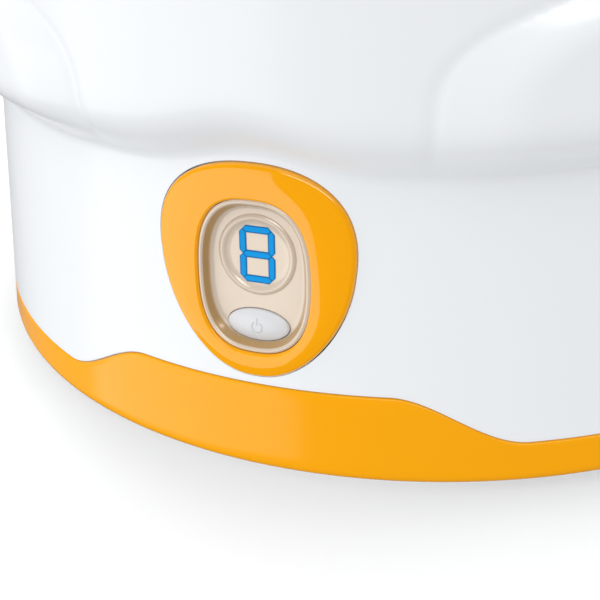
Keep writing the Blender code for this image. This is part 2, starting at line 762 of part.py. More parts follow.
def window_outline(angle, grow=0.0):
    """The outline of the window in the bezel."""
    return egg(
        angle, WINDOW_HALF_WIDTH + grow, WINDOW_HALF_HEIGHT + grow, WINDOW_POWER, 0, -WINDOW_DROP
    )


def egg(angle, half_width, half_height, power, taper, middle):
    """A point of a superellipse that grows wider upwards."""
    c, s = math.cos(angle), math.sin(angle)
    x = half_width * (1 + taper * s) * math.copysign(abs(c) ** (2 / power), c)
    return (x, middle + half_height * math.copysign(abs(s) ** (2 / power), s))


def wall_drop(x):
    """How far the round wall falls back behind the panel's plane at this distance across."""
    radius = wall_radius(PANEL_Z)
    return (radius - math.sqrt(radius**2 - x**2)) * math.cos(PANEL_TILT)


def outline_ring(outline, grow, w, flat=False, other=None, blend=0.0):
    """A ring of points on an outline, or between it and another, at a height out of the wall."""
    ring = []
    for k in range(PANEL_SEGMENTS):
        angle = 2 * math.pi * (k + 0.5) / PANEL_SEGMENTS
        x, y = outline(angle, grow)
        if other:
            inner_x, inner_y = other(angle)
            x += (inner_x - x) * blend
            y += (inner_y - y) * blend
        ring.append((x, y, w if flat else w - wall_drop(x)))
    return ring


def make_bezel():
    """The egg-shaped frame. Its rows go from its outer edge, at 0, to its window's edge, at 1."""
    rows = [
        (0.0, -BEZEL_BACK),
        (0.0, BEZEL_PROUD - BEZEL_EDGE),
        (0.06, BEZEL_PROUD - BEZEL_EDGE / 3),
        (0.3, BEZEL_PROUD),
        (0.75, BEZEL_PROUD),
        (0.95, BEZEL_PROUD - BEZEL_LIP / 3),
        (1.0, BEZEL_PROUD - BEZEL_LIP),
        (1.0, -BEZEL_BACK),
    ]
    rings = [
        outline_ring(panel_outline, 0, w, other=window_outline, blend=blend) for blend, w in rows
    ]
    finish(loft("control_bezel", rings, closed=True, parent=panel), "F9A81B", 0.12)


def make_window():
    rim = BEZEL_PROUD - BEZEL_LIP
    rings = [
        outline_ring(window_outline, -GAP, -FLOOR_BACK, flat=True),
        outline_ring(window_outline, -GAP, rim),
        outline_ring(window_outline, -GAP - WINDOW_WALL, rim - GAP),
        outline_ring(window_outline, -GAP - WINDOW_WALL - WINDOW_DRAFT, -WINDOW_DEPTH, flat=True),
    ]
    window = loft("display_window", rings, parent=panel)
    depth = 4 * WINDOW_WALL
    lens_hole = cylinder("lens_hole", LENS_RADIUS + GAP, depth, 24, collection=cutters, parent=panel)
    lens_hole.location = (0, DIGIT_UP, -FLOOR_BACK - WINDOW_WALL)
    button_hole = cylinder("button_hole", 1.0, depth, 24, collection=cutters, parent=panel)
    button_hole.location = (0, -BUTTON_DOWN, -FLOOR_BACK - WINDOW_WALL)
    fit = Matrix.Diagonal((BUTTON_HALF_WIDTH + GAP, BUTTON_HALF_HEIGHT + GAP, 1, 1))
    button_hole.data.transform(fit)
    cut(window, lens_hole, button_hole)
    finish(window, "D9C6A6", 0.15)
    top = WINDOW_WALL + LENS_CROWN
    profile = [
        (0, top),
        (LENS_RADIUS * 0.6, top - LENS_CROWN * 0.4),
        (LENS_RADIUS, WINDOW_WALL),
        (LENS_RADIUS, 0),
        (0, 0),
    ]
    lens = turned("display_lens", profile, 24, parent=panel, location=(0, DIGIT_UP, -FLOOR_BACK))
    finish(lens, "E6DCC8", 0.05)


def make_electronics():
    middle = -FLOOR_BACK - GAP - DISPLAY[2] / 2
    place = (0, DIGIT_UP, middle)
    display = box("display_module", DISPLAY, bevel=CHAMFER / 2, parent=panel, location=place)
    finish(display, "1B2A4A", 0.4)
    board_z = -BOARD_FACE - CONTROL_BOARD[2] / 2
    board = box("control_board", CONTROL_BOARD, parent=panel, location=(0, -CONTROL_BOARD_DROP, board_z))
    finish(board, "2F6B3C", 0.4)
    plunger_top = button_back() - GAP
    switch_top = plunger_top - BUTTON_TRAVEL - GAP
    switch_height = BOARD_FACE + switch_top - GAP
    switch = box(
        "tact_switch",
        (SWITCH_SIDE, SWITCH_SIDE, switch_height),
        bevel=CHAMFER / 2,
        parent=panel,
        location=(0, -BUTTON_DOWN, switch_top - switch_height / 2),
    )
    bore = cylinder("switch_bore", PLUNGER_RADIUS + GAP, 2 * switch_height, 12, collection=cutters)
    bore.parent = panel
    bore.location = (0, -BUTTON_DOWN, switch_top - 1.5 * switch_height)
    cut(switch, bore)
    finish(switch, "2B2B2E", 0.5)
    start = panel.matrix_basis @ Vector((0, CONTROL_BOARD_BOTTOM - GAP, board_z))
    below = panel.matrix_basis @ Vector((0, CONTROL_BOARD_BOTTOM - GAP - 3 * LEAD_RADIUS, board_z))
    lead_z = BOARD_Z + BOARD + GAP + LEAD_RADIUS
    end_y = -BOARD_Y / 2 + BOARD_EDGE
    route = [
        start,
        below,
        (0, start.y + 8 * LEAD_RADIUS, lead_z + 2 * LEAD_RADIUS),
        (0, (start.y + end_y) / 2, lead_z + LEAD_RADIUS),
        (0, -BOARD_Y / 2 - 4 * LEAD_RADIUS, lead_z),
        (0, end_y, lead_z),
    ]
    lead = tube("display_lead", smooth_path(route, 5 * LEAD_RADIUS), LEAD_RADIUS)
    finish(lead, "3C3C40", 0.5)


def button_back():
    """Where the button's flange ends, behind the window's floor."""
    return -FLOOR_BACK - GAP - BUTTON_FLANGE


def make_button():
    """The oval key, on its axis of travel. Its flange keeps it behind the window's floor."""
    flange = 1 + BUTTON_FLANGE_WIDTH / BUTTON_HALF_WIDTH
    button = turned(
        "power_button",
        [
            (0, BUTTON_PROUD),
            (0.5, BUTTON_PROUD - 0.25 * BUTTON_CROWN),
            (0.88, BUTTON_PROUD - 0.75 * BUTTON_CROWN),
            (1, BUTTON_PROUD - BUTTON_CROWN - GAP),
            (1, -WINDOW_WALL - GAP),
            (flange, -WINDOW_WALL - GAP),
            (flange, -WINDOW_WALL - GAP - BUTTON_FLANGE),
            (0, -WINDOW_WALL - GAP - BUTTON_FLANGE),
        ],
        24,
        parent=panel,
        location=(0, -BUTTON_DOWN, -WINDOW_DEPTH),
    )
    button.data.transform(Matrix.Diagonal((BUTTON_HALF_WIDTH, BUTTON_HALF_WIDTH, 1, 1)))
    button.scale.y = BUTTON_HALF_HEIGHT / BUTTON_HALF_WIDTH
    finish(button, "E4E5E8", 0.3)
    length = BUTTON_TRAVEL + GAP + PLUNGER_ENTRY
    plunger = cylinder("switch_plunger", PLUNGER_RADIUS, length, 12, parent=panel)
    plunger.location = (0, -BUTTON_DOWN, button_back() - GAP - length)
    finish(plunger, "C24A3A", 0.4)


# Lid


def make_lid():
    """The clear dome, its knob and the screw that holds the knob from inside."""
    flange_outer = LEDGE_OUTER + RIM_WALL - GAP
    dome = flange_outer - LID_FLANGE
    hole = KNOB_SCREW_RADIUS + GAP
    turns = [math.pi / 2 * (LID_ARC_STEPS - k) / LID_ARC_STEPS for k in range(LID_ARC_STEPS + 1)]
    outside = [(dome * math.cos(t), LID_WALL + LID_RISE * math.sin(t)) for t in turns[1:]]
    inner_rise = LID_RISE - LID_WALL
    inner = dome - LID_WALL
    inside = [(inner * math.cos(t), LID_WALL + inner_rise * math.sin(t)) for t in turns[:0:-1]]
    lip = WELL_RADIUS - 2 * GAP
    profile = [
        (hole, LID_WALL + LID_RISE),
        *outside,
        (flange_outer, LID_WALL),
        (flange_outer, 0),
        (lip, 0),
        (lip, -LID_LIP),
        (lip - LID_WALL, -LID_LIP),
        *[(min(r, lip - LID_WALL) if z <= LID_WALL else r, z) for r, z in inside],
        (hole, LID_WALL + inner_rise),
    ]
    lid = turned("lid_dome", profile, WELL_SEGMENTS, location=(0, 0, RIM_Z + GAP))
    finish(lid, "E8EEF2", 0.05)

    seat = LID_WALL + LID_RISE + GAP
    bore_top = KNOB_SCREW_REACH + GAP
    knob = turned(
        "lid_knob",
        [
            (0, KNOB_HEIGHT),
            (0.5 * KNOB_RADIUS, 0.95 * KNOB_HEIGHT),
            (0.85 * KNOB_RADIUS, 0.84 * KNOB_HEIGHT),
            (KNOB_RADIUS, 0.66 * KNOB_HEIGHT),
            (0.9 * KNOB_RADIUS, 0.5 * KNOB_HEIGHT),
            (KNOB_NECK, 0.28 * KNOB_HEIGHT),
            (KNOB_BASE, 0),
            (hole, 0),
            (hole, bore_top),
            (0, bore_top),
        ],
        20,
        parent=lid,
        location=(0, 0, seat),
    )
    finish(knob, "F9A81B", 0.2)
    head_top = -GAP - LID_WALL - GAP
    screw = turned(
        "lid_knob_screw",
        [
            (0, KNOB_SCREW_REACH),
            (KNOB_SCREW_RADIUS, KNOB_SCREW_REACH - SCREW_POINT),
            (KNOB_SCREW_RADIUS, head_top),
            (KNOB_SCREW_HEAD, head_top),
            (KNOB_SCREW_HEAD - CHAMFER, head_top - KNOB_SCREW_HEAD_HEIGHT),
            (0, head_top - KNOB_SCREW_HEAD_HEIGHT),
        ],
        parent=lid,
        location=(0, 0, seat),
    )
    finish(screw, "C9CCD0", 0.25, 1.0)


# Jars


def jar_profile():
    shoulder = JAR_HEIGHT - JAR_NECK_HEIGHT - JAR_SHOULDER_HEIGHT
    neck = JAR_HEIGHT - JAR_NECK_HEIGHT
    inner = JAR_RADIUS - JAR_WALL
    return [
        (JAR_NECK_RADIUS, JAR_HEIGHT),
        (JAR_NECK_RADIUS, neck),
        (JAR_RADIUS, shoulder),
        (JAR_RADIUS, JAR_FILLET),
        (JAR_RADIUS - JAR_FILLET, 0),
        (0, 0),
        (0, JAR_BOTTOM),
        (inner - JAR_FILLET, JAR_BOTTOM),
        (inner, JAR_BOTTOM + JAR_FILLET),
        (inner, shoulder - JAR_WALL / 2),
        (JAR_NECK_RADIUS - JAR_WALL, neck),
        (JAR_NECK_RADIUS - JAR_WALL, JAR_HEIGHT),
    ]


def cap_profile():
    """A push-on cap, measured from the jar's bottom."""
    inner = JAR_NECK_RADIUS + 3 * GAP
    outer = inner + CAP_WALL
    under = JAR_HEIGHT + GAP
    top = under + CAP_WALL
    return [
        (0, top),
        (outer - CAP_WALL, top),
        (outer, top - CAP_WALL),
        (outer, top - CAP_SKIRT),
        (inner, top - CAP_SKIRT),
        (inner, under),
        (0, under),
    ]


def jar_places():
    around = [at(2 * math.pi * k / JAR_COUNT_AROUND, JAR_CIRCLE, JAR_Z) for k in range(JAR_COUNT_AROUND)]
    return [(0, 0, JAR_Z), *around]


def make_jars():
    for k, place in enumerate(jar_places(), 1):
        jar = turned(f"jar_{k}", jar_profile(), JAR_SEGMENTS, location=place)
        finish(jar, "DCE8E6", 0.05)
        cap = turned(f"jar_lid_{k}", cap_profile(), JAR_SEGMENTS, parent=jar)
        finish(cap, "F5F6F7", 0.35)


clear_scene()
parts = new_collection("yogurt_maker")
cutters = new_collection("cutters")
panel = bpy.data.objects.new("control_panel_frame", None)
parts.objects.link(panel)
panel.location = at(0, wall_radius(PANEL_Z), PANEL_Z)
panel.rotation_euler.x = math.pi / 2 - PANEL_TILT
panel.empty_display_size = 0.02

rear = bpy.data.objects.new("cord_gland_frame", None)
parts.objects.link(rear)
rear.location = at(math.pi, wall_radius(BASE_Z + GLAND_UP), BASE_Z + GLAND_UP)
rear.rotation_euler.x = PANEL_TILT - math.pi / 2
rear.empty_display_size = 0.02

make_housing()
make_base_ring()
make_base_plate()
make_feet_and_screws()
make_cord_gland()
make_power_board()
make_heater()
make_well()
make_bezel()
make_window()
make_electronics()
make_button()
make_lid()
make_jars()
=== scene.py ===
"""Electric yogurt maker: a glossy casing with a control panel, glass jars and a clear lid."""

import math

import bmesh
import bpy
from mathutils import Matrix, Vector


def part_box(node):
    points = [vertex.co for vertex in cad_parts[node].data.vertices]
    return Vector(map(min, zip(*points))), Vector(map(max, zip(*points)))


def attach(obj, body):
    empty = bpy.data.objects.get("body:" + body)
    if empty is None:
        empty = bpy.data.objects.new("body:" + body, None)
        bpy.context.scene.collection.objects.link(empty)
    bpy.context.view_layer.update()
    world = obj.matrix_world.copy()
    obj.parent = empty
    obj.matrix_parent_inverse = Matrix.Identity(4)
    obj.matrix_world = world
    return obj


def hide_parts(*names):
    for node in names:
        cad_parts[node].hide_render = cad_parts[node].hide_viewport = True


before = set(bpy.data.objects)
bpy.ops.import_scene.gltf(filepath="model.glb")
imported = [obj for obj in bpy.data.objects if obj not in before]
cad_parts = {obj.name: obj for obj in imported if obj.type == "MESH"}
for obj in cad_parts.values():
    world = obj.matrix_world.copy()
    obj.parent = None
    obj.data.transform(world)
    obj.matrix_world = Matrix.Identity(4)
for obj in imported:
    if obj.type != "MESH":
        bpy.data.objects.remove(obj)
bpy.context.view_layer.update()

scene = bpy.context.scene
MM = 0.001


# ------------------------------------------------------------------------------------------
# Studio. The machine stands on a pale matt board in a white room, lit by large soft boxes
# from the upper left. The camera is close, to the right of the front and a little above it.

CAMERA_AT = Vector((92.8, -301.7, 147.3)) * MM
CAMERA_AIM = Vector((9.4, -119.0, 41.7)) * MM
CAMERA_ROLL = math.radians(-3.47)
CAMERA_LENS = 66
FLOOR_SIDE = 12.0
FLOOR_COLOUR = "FDFDFD"
ROOM_HIGH = 1.08
ROOM_LOW = 0.72
ROOM_GLOSS = 0.1


def linear(hex_colour, share=1.0):
    """The linear colour of an sRGB hex value, dimmed to this share."""
    shades = [int(hex_colour[i : i + 2], 16) / 255 for i in (0, 2, 4)]
    light = [c / 12.92 if c <= 0.04045 else ((c + 0.055) / 1.055) ** 2.4 for c in shades]
    return [c * share for c in light] + [1.0]


def add_node(material, kind, inputs=(), **settings):
    """Adds a node with its settings; an input takes a value, or the output that feeds it."""
    tree = material.node_tree
    node = tree.nodes.new(kind)
    for name, value in settings.items():
        setattr(node, name, value)
    for name, value in dict(inputs).items():
        if isinstance(value, bpy.types.NodeSocket):
            tree.links.new(value, node.inputs[name])
        else:
            node.inputs[name].default_value = value
    return node


def new_material(name):
    """An empty node material and its Principled shader."""
    material = bpy.data.materials.new(name)
    material.use_nodes = True
    material.node_tree.nodes.clear()
    shader = add_node(material, "ShaderNodeBsdfPrincipled")
    add_node(material, "ShaderNodeOutputMaterial", {"Surface": shader.outputs["BSDF"]})
    return material, shader


def feed(material, shader, **sockets):
    """Sets or links the named sockets of a shader; spaces in their names are underscores."""
    for name, value in sockets.items():
        socket = shader.inputs[name.replace("_", " ")]
        if isinstance(value, bpy.types.NodeSocket):
            material.node_tree.links.new(value, socket)
        else:
            socket.default_value = value


def look_along(direction, roll=0.0):
    return (direction.to_track_quat("-Z", "Y").to_matrix() @ Matrix.Rotation(roll, 3, "Z")).to_4x4()


camera_data = bpy.data.cameras.new("camera")
camera_data.lens = CAMERA_LENS
camera_data.sensor_width = 36
camera_data.clip_start = 0.01
camera = bpy.data.objects.new("camera", camera_data)
camera_turn = look_along(CAMERA_AIM - CAMERA_AT, CAMERA_ROLL)
camera.matrix_world = Matrix.Translation(CAMERA_AT) @ camera_turn
scene.collection.objects.link(camera)
scene.camera = camera
scene.view_settings.view_transform = "Standard"

floor_mesh = bmesh.new()
bmesh.ops.create_grid(floor_mesh, x_segments=4, y_segments=4, size=FLOOR_SIDE / 2)
floor_data = bpy.data.meshes.new("studio_floor")
floor_mesh.to_mesh(floor_data)
floor_mesh.free()
floor = bpy.data.objects.new("studio_floor", floor_data)
scene.collection.objects.link(floor)
board_paint, board_shader = new_material("matt_white_board")
feed(board_paint, board_shader, Base_Color=linear(FLOOR_COLOUR), Roughness=0.9, Specular_IOR_Level=0.1)
floor_data.materials.append(board_paint)

# The room lights the machine more from above than from below, so that what faces down is
# shaded. Its reflection is dimmer, so that gloss keeps its depth.
room = bpy.data.worlds.new("white_room")
room.use_nodes = True
scene.world = room
backdrop = room.node_tree.nodes["Background"]
backdrop.inputs["Color"].default_value = (1, 1, 1, 1)
toward = add_node(room, "ShaderNodeTexCoord").outputs["Generated"]
height = add_node(room, "ShaderNodeSeparateXYZ", {"Vector": toward}).outputs["Z"]
sky = add_node(
    room,
    "ShaderNodeMapRange",
    {"Value": height, "From Min": -0.2, "From Max": 0.2, "To Min": ROOM_LOW, "To Max": ROOM_HIGH},
    interpolation_type="SMOOTHSTEP",
)
mirrored = add_node(room, "ShaderNodeLightPath").outputs["Is Glossy Ray"]
level = add_node(
    room,
    "ShaderNodeMix",
    {"Factor": mirrored, "A": sky.outputs["Result"], "B": ROOM_GLOSS},
    data_type="FLOAT",
)
room.node_tree.links.new(level.outputs["Result"], backdrop.inputs["Strength"])
for rays in ("visible_glossy", "visible_diffuse", "visible_shadow"):
    setattr(floor, rays, False)


def soft_box(name, at, aim, width, height, brightness, only_gloss=False):
    """A rectangular soft box of this brightness, where 1 is a white card in full light."""
    lamp = bpy.data.lights.new(name, "AREA")
    lamp.shape = "RECTANGLE"
    lamp.size = width
    lamp.size_y = height
    lamp.energy = brightness * math.pi * width * height
    box = bpy.data.objects.new(name, lamp)
    place, target = Vector(at), Vector(aim)
    box.matrix_world = Matrix.Translation(place) @ look_along(target - place)
    box.visible_camera = False
    box.visible_diffuse = not only_gloss
    box.visible_glossy = only_gloss
    scene.collection.objects.link(box)


# The boxes light the matt part of each surface; the cards are seen only in its gloss, round
# the panel.
MIDDLE = (0, 0, 0.05)
PANEL = (0, -0.12, 0.047)
soft_box("back_box", (-0.6, 0.6, 1.2), (0, 0, 0), 0.9, 0.9, 1.2)
soft_box("key_box", (-1.05, -0.5, 0.8), MIDDLE, 1.1, 1.1, 0.9)
soft_box("low_box", (-1.2, -0.75, -0.3), MIDDLE, 1.1, 1.1, 0.9)
soft_box("left_card", (-0.651, -0.77, -0.17), PANEL, 1.06, 0.64, 1.4, only_gloss=True)
soft_box("side_card", (-0.869, 0.113, -0.17), PANEL, 1.06, 0.64, 0.2, only_gloss=True)
soft_box("rim_card", (0.4, -0.7, 0.85), PANEL, 1.3, 0.3, 6, only_gloss=True)


# ------------------------------------------------------------------------------------------
# Housing. One injection-moulded shell of white ABS, polished to a high gloss: a wall that
# leans in going up, an overhang with a soft crease under it that arches over the control
# panel, and a swelling grip on each side. Four bosses inside take the base screws.

GAP = 0.3 * MM
WALL_LEAN = 0.1089
RING_ROUNDING = 2.6 * MM
WALL = 2.5 * MM
UPPER_LEAN = 0.02
OVERHANG = 6.9 * MM
OVERHANG_HEIGHT = 18.0 * MM
CREASE_UP = 66.0 * MM
CREASE_RISE = 2.2 * MM  # that its ends climb at the sides
CREASE_ARCH = 4.2 * MM
CREASE_ARCH_WIDTH = math.radians(8)
EAR_OUT = 3.6 * MM
EAR_EDGE = math.radians(17)
EAR_DROP = 27.0 * MM
EAR_ARCH_RISE = 33.0 * MM
EAR_ARCH_POWER = 2.7
EAR_SOFTNESS = 0.3
EAR_LINE = 0.4 * MM  # depth of the fine groove along its edge
EAR_LINE_WIDTH = 0.025
SHOULDER_HEIGHT = 11.0 * MM
RIM_WALL = 4.2 * MM
RIM_EDGE = 0.6 * MM
LOWER_EDGE = 0.35 * MM  # rounding where the casing and the ring meet
LEDGE_THICKNESS = 2.5 * MM
RING_PLATEAU_UP = 20.7 * MM
RING_TROUGH_UP = 9.8 * MM
PLATEAU_EDGE = math.radians(13.5)
TROUGH_EDGE = math.radians(27)
PANEL_UP = 46.0 * MM
PANEL_HALF_WIDTH = 21.65 * MM
PANEL_HALF_HEIGHT = 23.2 * MM
PANEL_POWER = 2.21
PANEL_TAPER = 0.197
BASE_PLATE = 4.0 * MM
CORNERS = [math.radians(45 + 90 * k) for k in range(4)]
SCREW_INSET = 13.2 * MM  # from the foot of the wall to each screw
SCREW_RADIUS = 1.5 * MM
BOSS_RADIUS = 4.0 * MM
BOSS_HEIGHT = 36.0 * MM
BOSS_HOLE = 13.4 * MM
RIB_WIDTH = 3.0 * MM
RIB_HEIGHT = 16.0 * MM
HOUSING_WHITE = "F1F4F7"

ring_low, ring_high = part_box("base_ring")
well_low, well_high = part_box("inner_well")
BASE_Z = ring_low.z
RIM_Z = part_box("housing")[1].z
SHOULDER_Z = RIM_Z - SHOULDER_HEIGHT
WALL_FOOT = ring_high.x + WALL_LEAN * RING_ROUNDING
PLATE_TOP_Z = BASE_Z + BASE_PLATE
CREASE_Z = BASE_Z + CREASE_UP
PANEL_Z = BASE_Z + PANEL_UP
PANEL_TILT = math.atan(WALL_LEAN)
LEDGE_OUTER = well_high.x + 1.3 * MM
LEDGE_INNER = well_high.x - 5.2 * MM
LEDGE_Z = RIM_Z - 4.0 * MM


def ease(t):
    t = min(max(t, 0.0), 1.0)
    return t * t * (3 - 2 * t)


def at(azimuth, radius, height):
    """The point at this azimuth from the front, radius and height."""
    return Vector((radius * math.sin(azimuth), -radius * math.cos(azimuth), height))


def wall_radius(z):
    return WALL_FOOT - WALL_LEAN * (z - BASE_Z)


def crease_z(azimuth):
    """Height of the crease: it climbs to the sides and arches over the panel."""
    front = math.atan2(math.sin(azimuth), math.cos(azimuth))
    arch = CREASE_ARCH * math.exp(-((front / CREASE_ARCH_WIDTH) ** 2))
    return CREASE_Z + CREASE_RISE * math.sin(azimuth) ** 2 + arch


def ear(azimuth, z):
    """How far a grip swells out here, less the fine groove along its edge."""
    side = (math.pi / 2 - math.asin(abs(math.sin(azimuth)))) / (math.pi / 2 - EAR_EDGE)
    up = max(0.0, z - (SHOULDER_Z - EAR_DROP)) / EAR_ARCH_RISE
    inside = 1 - side**EAR_ARCH_POWER - up**EAR_ARCH_POWER
    line = EAR_LINE * math.exp(-(((inside - EAR_LINE_WIDTH) / EAR_LINE_WIDTH) ** 2))
    return EAR_OUT * ease(inside / EAR_SOFTNESS) - line


def casing_radius(azimuth, z):
    crease = crease_z(azimuth)
    if z <= crease:
        return wall_radius(z)
    upper = wall_radius(CREASE_Z) + OVERHANG - UPPER_LEAN * (z - CREASE_Z)
    left = max(0.0, 1 - (z - crease) / OVERHANG_HEIGHT)
    out = 1 - left**4 * (5 - 4 * left)
    return wall_radius(crease) * (1 - out) + (upper + ear(azimuth, z)) * out


def ring_top(azimuth):
    from_end = math.asin(min(1.0, abs(math.sin(azimuth))))
    fall = ease((from_end - PLATEAU_EDGE) / (TROUGH_EDGE - PLATEAU_EDGE))
    return BASE_Z + RING_PLATEAU_UP * (1 - fall) + RING_TROUGH_UP * fall


def columns(fine, coarse, half_width):
    """Azimuths all the way round, finer within half_width of the front."""
    front = round(2 * half_width / fine)
    rest = round((2 * math.pi - 2 * half_width) / coarse)
    near = [-half_width + 2 * half_width * k / front for k in range(front)]
    return near + [half_width + (2 * math.pi - 2 * half_width) * k / rest for k in range(rest)]


def mesh_object(name, bm, sharp=35):
    bmesh.ops.recalc_face_normals(bm, faces=bm.faces)
    mesh = bpy.data.meshes.new(name)
    bm.to_mesh(mesh)
    bm.free()
    mesh.shade_smooth()
    mesh.set_sharp_from_angle(angle=math.radians(sharp))
    obj = bpy.data.objects.new(name, mesh)
    scene.collection.objects.link(obj)
    return obj


def loft(name, rings, closed=False, sharp=35, matrix=None):
    """Skins rings with equal numbers of points: closed into a loop, or capped at its ends."""
    bm = bmesh.new()
    rows = [[bm.verts.new(point) for point in ring] for ring in rings]
    pairs = list(zip(rows, rows[1:]))
    if closed:
        pairs.append((rows[-1], rows[0]))
    else:
        bm.faces.new(rows[0])
        bm.faces.new(rows[-1])
    for lower, upper in pairs:
        for i in range(len(lower)):
            j = (i + 1) % len(lower)
            bm.faces.new((lower[i], lower[j], upper[j], upper[i]))
    if matrix:
        bm.transform(matrix)
    return mesh_object(name, bm, sharp)


def turned(name, profile, steps, matrix=None, sharp=35):
    """Turns a row of (radius, height) points round Z; points at radius 0 close the form."""
    bm = bmesh.new()
    rows = []
    for radius, height in profile:
        if radius < 1e-7:
            rows.append([bm.verts.new((0, 0, height))])
        else:
            turns = [2 * math.pi * k / steps for k in range(steps)]
            ring = [(radius * math.cos(t), radius * math.sin(t), height) for t in turns]
            rows.append([bm.verts.new(point) for point in ring])
    pairs = list(zip(rows, rows[1:]))
    if len(rows[0]) > 1 or len(rows[-1]) > 1:
        pairs.append((rows[-1], rows[0]))
    for one, two in pairs:
        for i in range(steps):
            j = (i + 1) % steps
            corners = [one[i % len(one)], one[j % len(one)], two[j % len(two)], two[i % len(two)]]
            corners = list(dict.fromkeys(corners))
            if len(corners) > 2:
                bm.faces.new(corners)
    if matrix:
        bm.transform(matrix)
    return mesh_object(name, bm, sharp)


def bake_modifiers(obj):
    """Keeps the mesh as its modifiers leave it."""
    bpy.context.view_layer.update()
    result = obj.evaluated_get(bpy.context.evaluated_depsgraph_get())
    baked = bpy.data.meshes.new_from_object(result)
    obj.modifiers.clear()
    obj.data = baked
    return obj


def boolean(obj, others, operation="DIFFERENCE", sharp=35):
    """Cuts the other pieces from this one, or joins them to it, and removes them."""
    for other in others:
        modifier = obj.modifiers.new(other.name, "BOOLEAN")
        modifier.operation = operation
        modifier.object = other
        modifier.solver = "EXACT"
    bake_modifiers(obj)
    for other in others:
        bpy.data.objects.remove(other)
    obj.data.shade_smooth()
    obj.data.set_sharp_from_angle(angle=math.radians(sharp))
    return obj


def arc(centre, radius, start, end, steps):
    """Points (across, up) of an arc, its angles in degrees from +across."""
    turns = [math.radians(start + (end - start) * k / steps) for k in range(steps + 1)]
    return [(centre[0] + radius * math.cos(t), centre[1] + radius * math.sin(t)) for t in turns]


def egg(angle, half_width, half_height, power, taper, middle):
    """A point of a superellipse that grows wider upwards."""
    c, s = math.cos(angle), math.sin(angle)
    x = half_width * (1 + taper * s) * math.copysign(abs(c) ** (2 / power), c)
    return (x, middle + half_height * math.copysign(abs(s) ** (2 / power), s))


def panel_outline(angle, grow=0.0):
    return egg(angle, PANEL_HALF_WIDTH + grow, PANEL_HALF_HEIGHT + grow, PANEL_POWER, PANEL_TAPER, 0)


def housing_section(azimuth):
    foot = ring_top(azimuth) + GAP / 2
    crease = crease_z(azimuth)
    brow = crease + OVERHANG_HEIGHT
    low = foot + LOWER_EDGE
    heights = [low + (crease - low) * k / 52 for k in range(52)]
    heights += [crease + OVERHANG_HEIGHT * k / 16 for k in range(16)]
    heights += [brow + (SHOULDER_Z - brow) * k / 20 for k in range(21)]
    outside = arc((wall_radius(foot) - LOWER_EDGE, low), LOWER_EDGE, -90, -30, 2)
    outside += [(casing_radius(azimuth, z), z) for z in heights]
    shoulder = casing_radius(azimuth, SHOULDER_Z)
    land = LEDGE_OUTER + RIM_WALL
    for across, up in arc((0, 0), 1, 0, 90, 12)[1:]:
        outside.append((land + (shoulder - land) * across, SHOULDER_Z + SHOULDER_HEIGHT * up))
    under = LEDGE_Z - LEDGE_THICKNESS
    ledge = arc((LEDGE_OUTER + RIM_EDGE, RIM_Z - RIM_EDGE), RIM_EDGE, 90, 180, 4)
    ledge += [(LEDGE_OUTER, LEDGE_Z), (LEDGE_INNER + GAP, LEDGE_Z), (LEDGE_INNER, LEDGE_Z - GAP)]
    ledge += [(LEDGE_INNER, under)]
    inner_heights = [under, brow, crease + OVERHANG_HEIGHT / 2, crease, foot]
    inside = [(casing_radius(azimuth, z) - WALL, z) for z in inner_heights]
    return outside + ledge + inside


panel_frame = Matrix.Translation(at(0, wall_radius(PANEL_Z), PANEL_Z)) @ Matrix.Rotation(
    math.pi / 2 - PANEL_TILT, 4, "X"
)


def panel_cutter(name, outline, grow, low, high, points=160):
    """A prism on an outline of the control panel, square to its plane."""
    rings = []
    for height in (low, high):
        angles = [2 * math.pi * (k + 0.5) / points for k in range(points)]
        rings.append([(*outline(a, grow), height) for a in angles])
    return loft(name, rings, matrix=panel_frame)


def gloss_abs(name, colour, roughness, ripple, specular=0.5, coat=0.0):
    """Polished ABS: even colour, a tight highlight, and the faint ripple of the mould's skin.

    The ripple is 4 mm from crest to crest, as sink and flow leave on a large moulding."""
    material, shader = new_material(name)
    place = add_node(material, "ShaderNodeTexCoord").outputs["Object"]
    tone = add_node(
        material, "ShaderNodeTexNoise", {"Vector": place, "Scale": 1 / (30 * MM), "Detail": 2.0}
    )
    mix = add_node(
        material,
        "ShaderNodeMix",
        {"Factor": tone.outputs["Fac"], "A": linear(colour, 0.985), "B": linear(colour)},
        data_type="RGBA",
    )
    scuffs = add_node(
        material, "ShaderNodeTexNoise", {"Vector": place, "Scale": 1 / (12 * MM), "Detail": 4.0}
    )
    rough = add_node(
        material,
        "ShaderNodeMapRange",
        {"Value": scuffs.outputs["Fac"], "To Min": roughness * 0.85, "To Max": roughness * 1.2},
    )
    skin = add_node(
        material, "ShaderNodeTexNoise", {"Vector": place, "Scale": 1 / (4 * MM), "Detail": 1.0}
    )
    bump = add_node(
        material,
        "ShaderNodeBump",
        {"Height": skin.outputs["Fac"], "Strength": ripple, "Distance": 0.05 * MM},
    )
    feed(
        material,
        shader,
        Base_Color=mix.outputs["Result"],
        Roughness=rough.outputs["Result"],
        Normal=bump.outputs["Normal"],
        IOR=1.54,
        Specular_IOR_Level=specular,
        Coat_Weight=coat,
    )
    return material


def finish(obj, material, body, slot, *nodes):
    """Gives a piece its material and body, and hides the CAD nodes that it stands for. The slot is not
    used.
    """
    obj.data.materials.clear()
    obj.data.materials.append(material)
    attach(obj, body)
    if nodes:
        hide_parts(*nodes)
    return obj


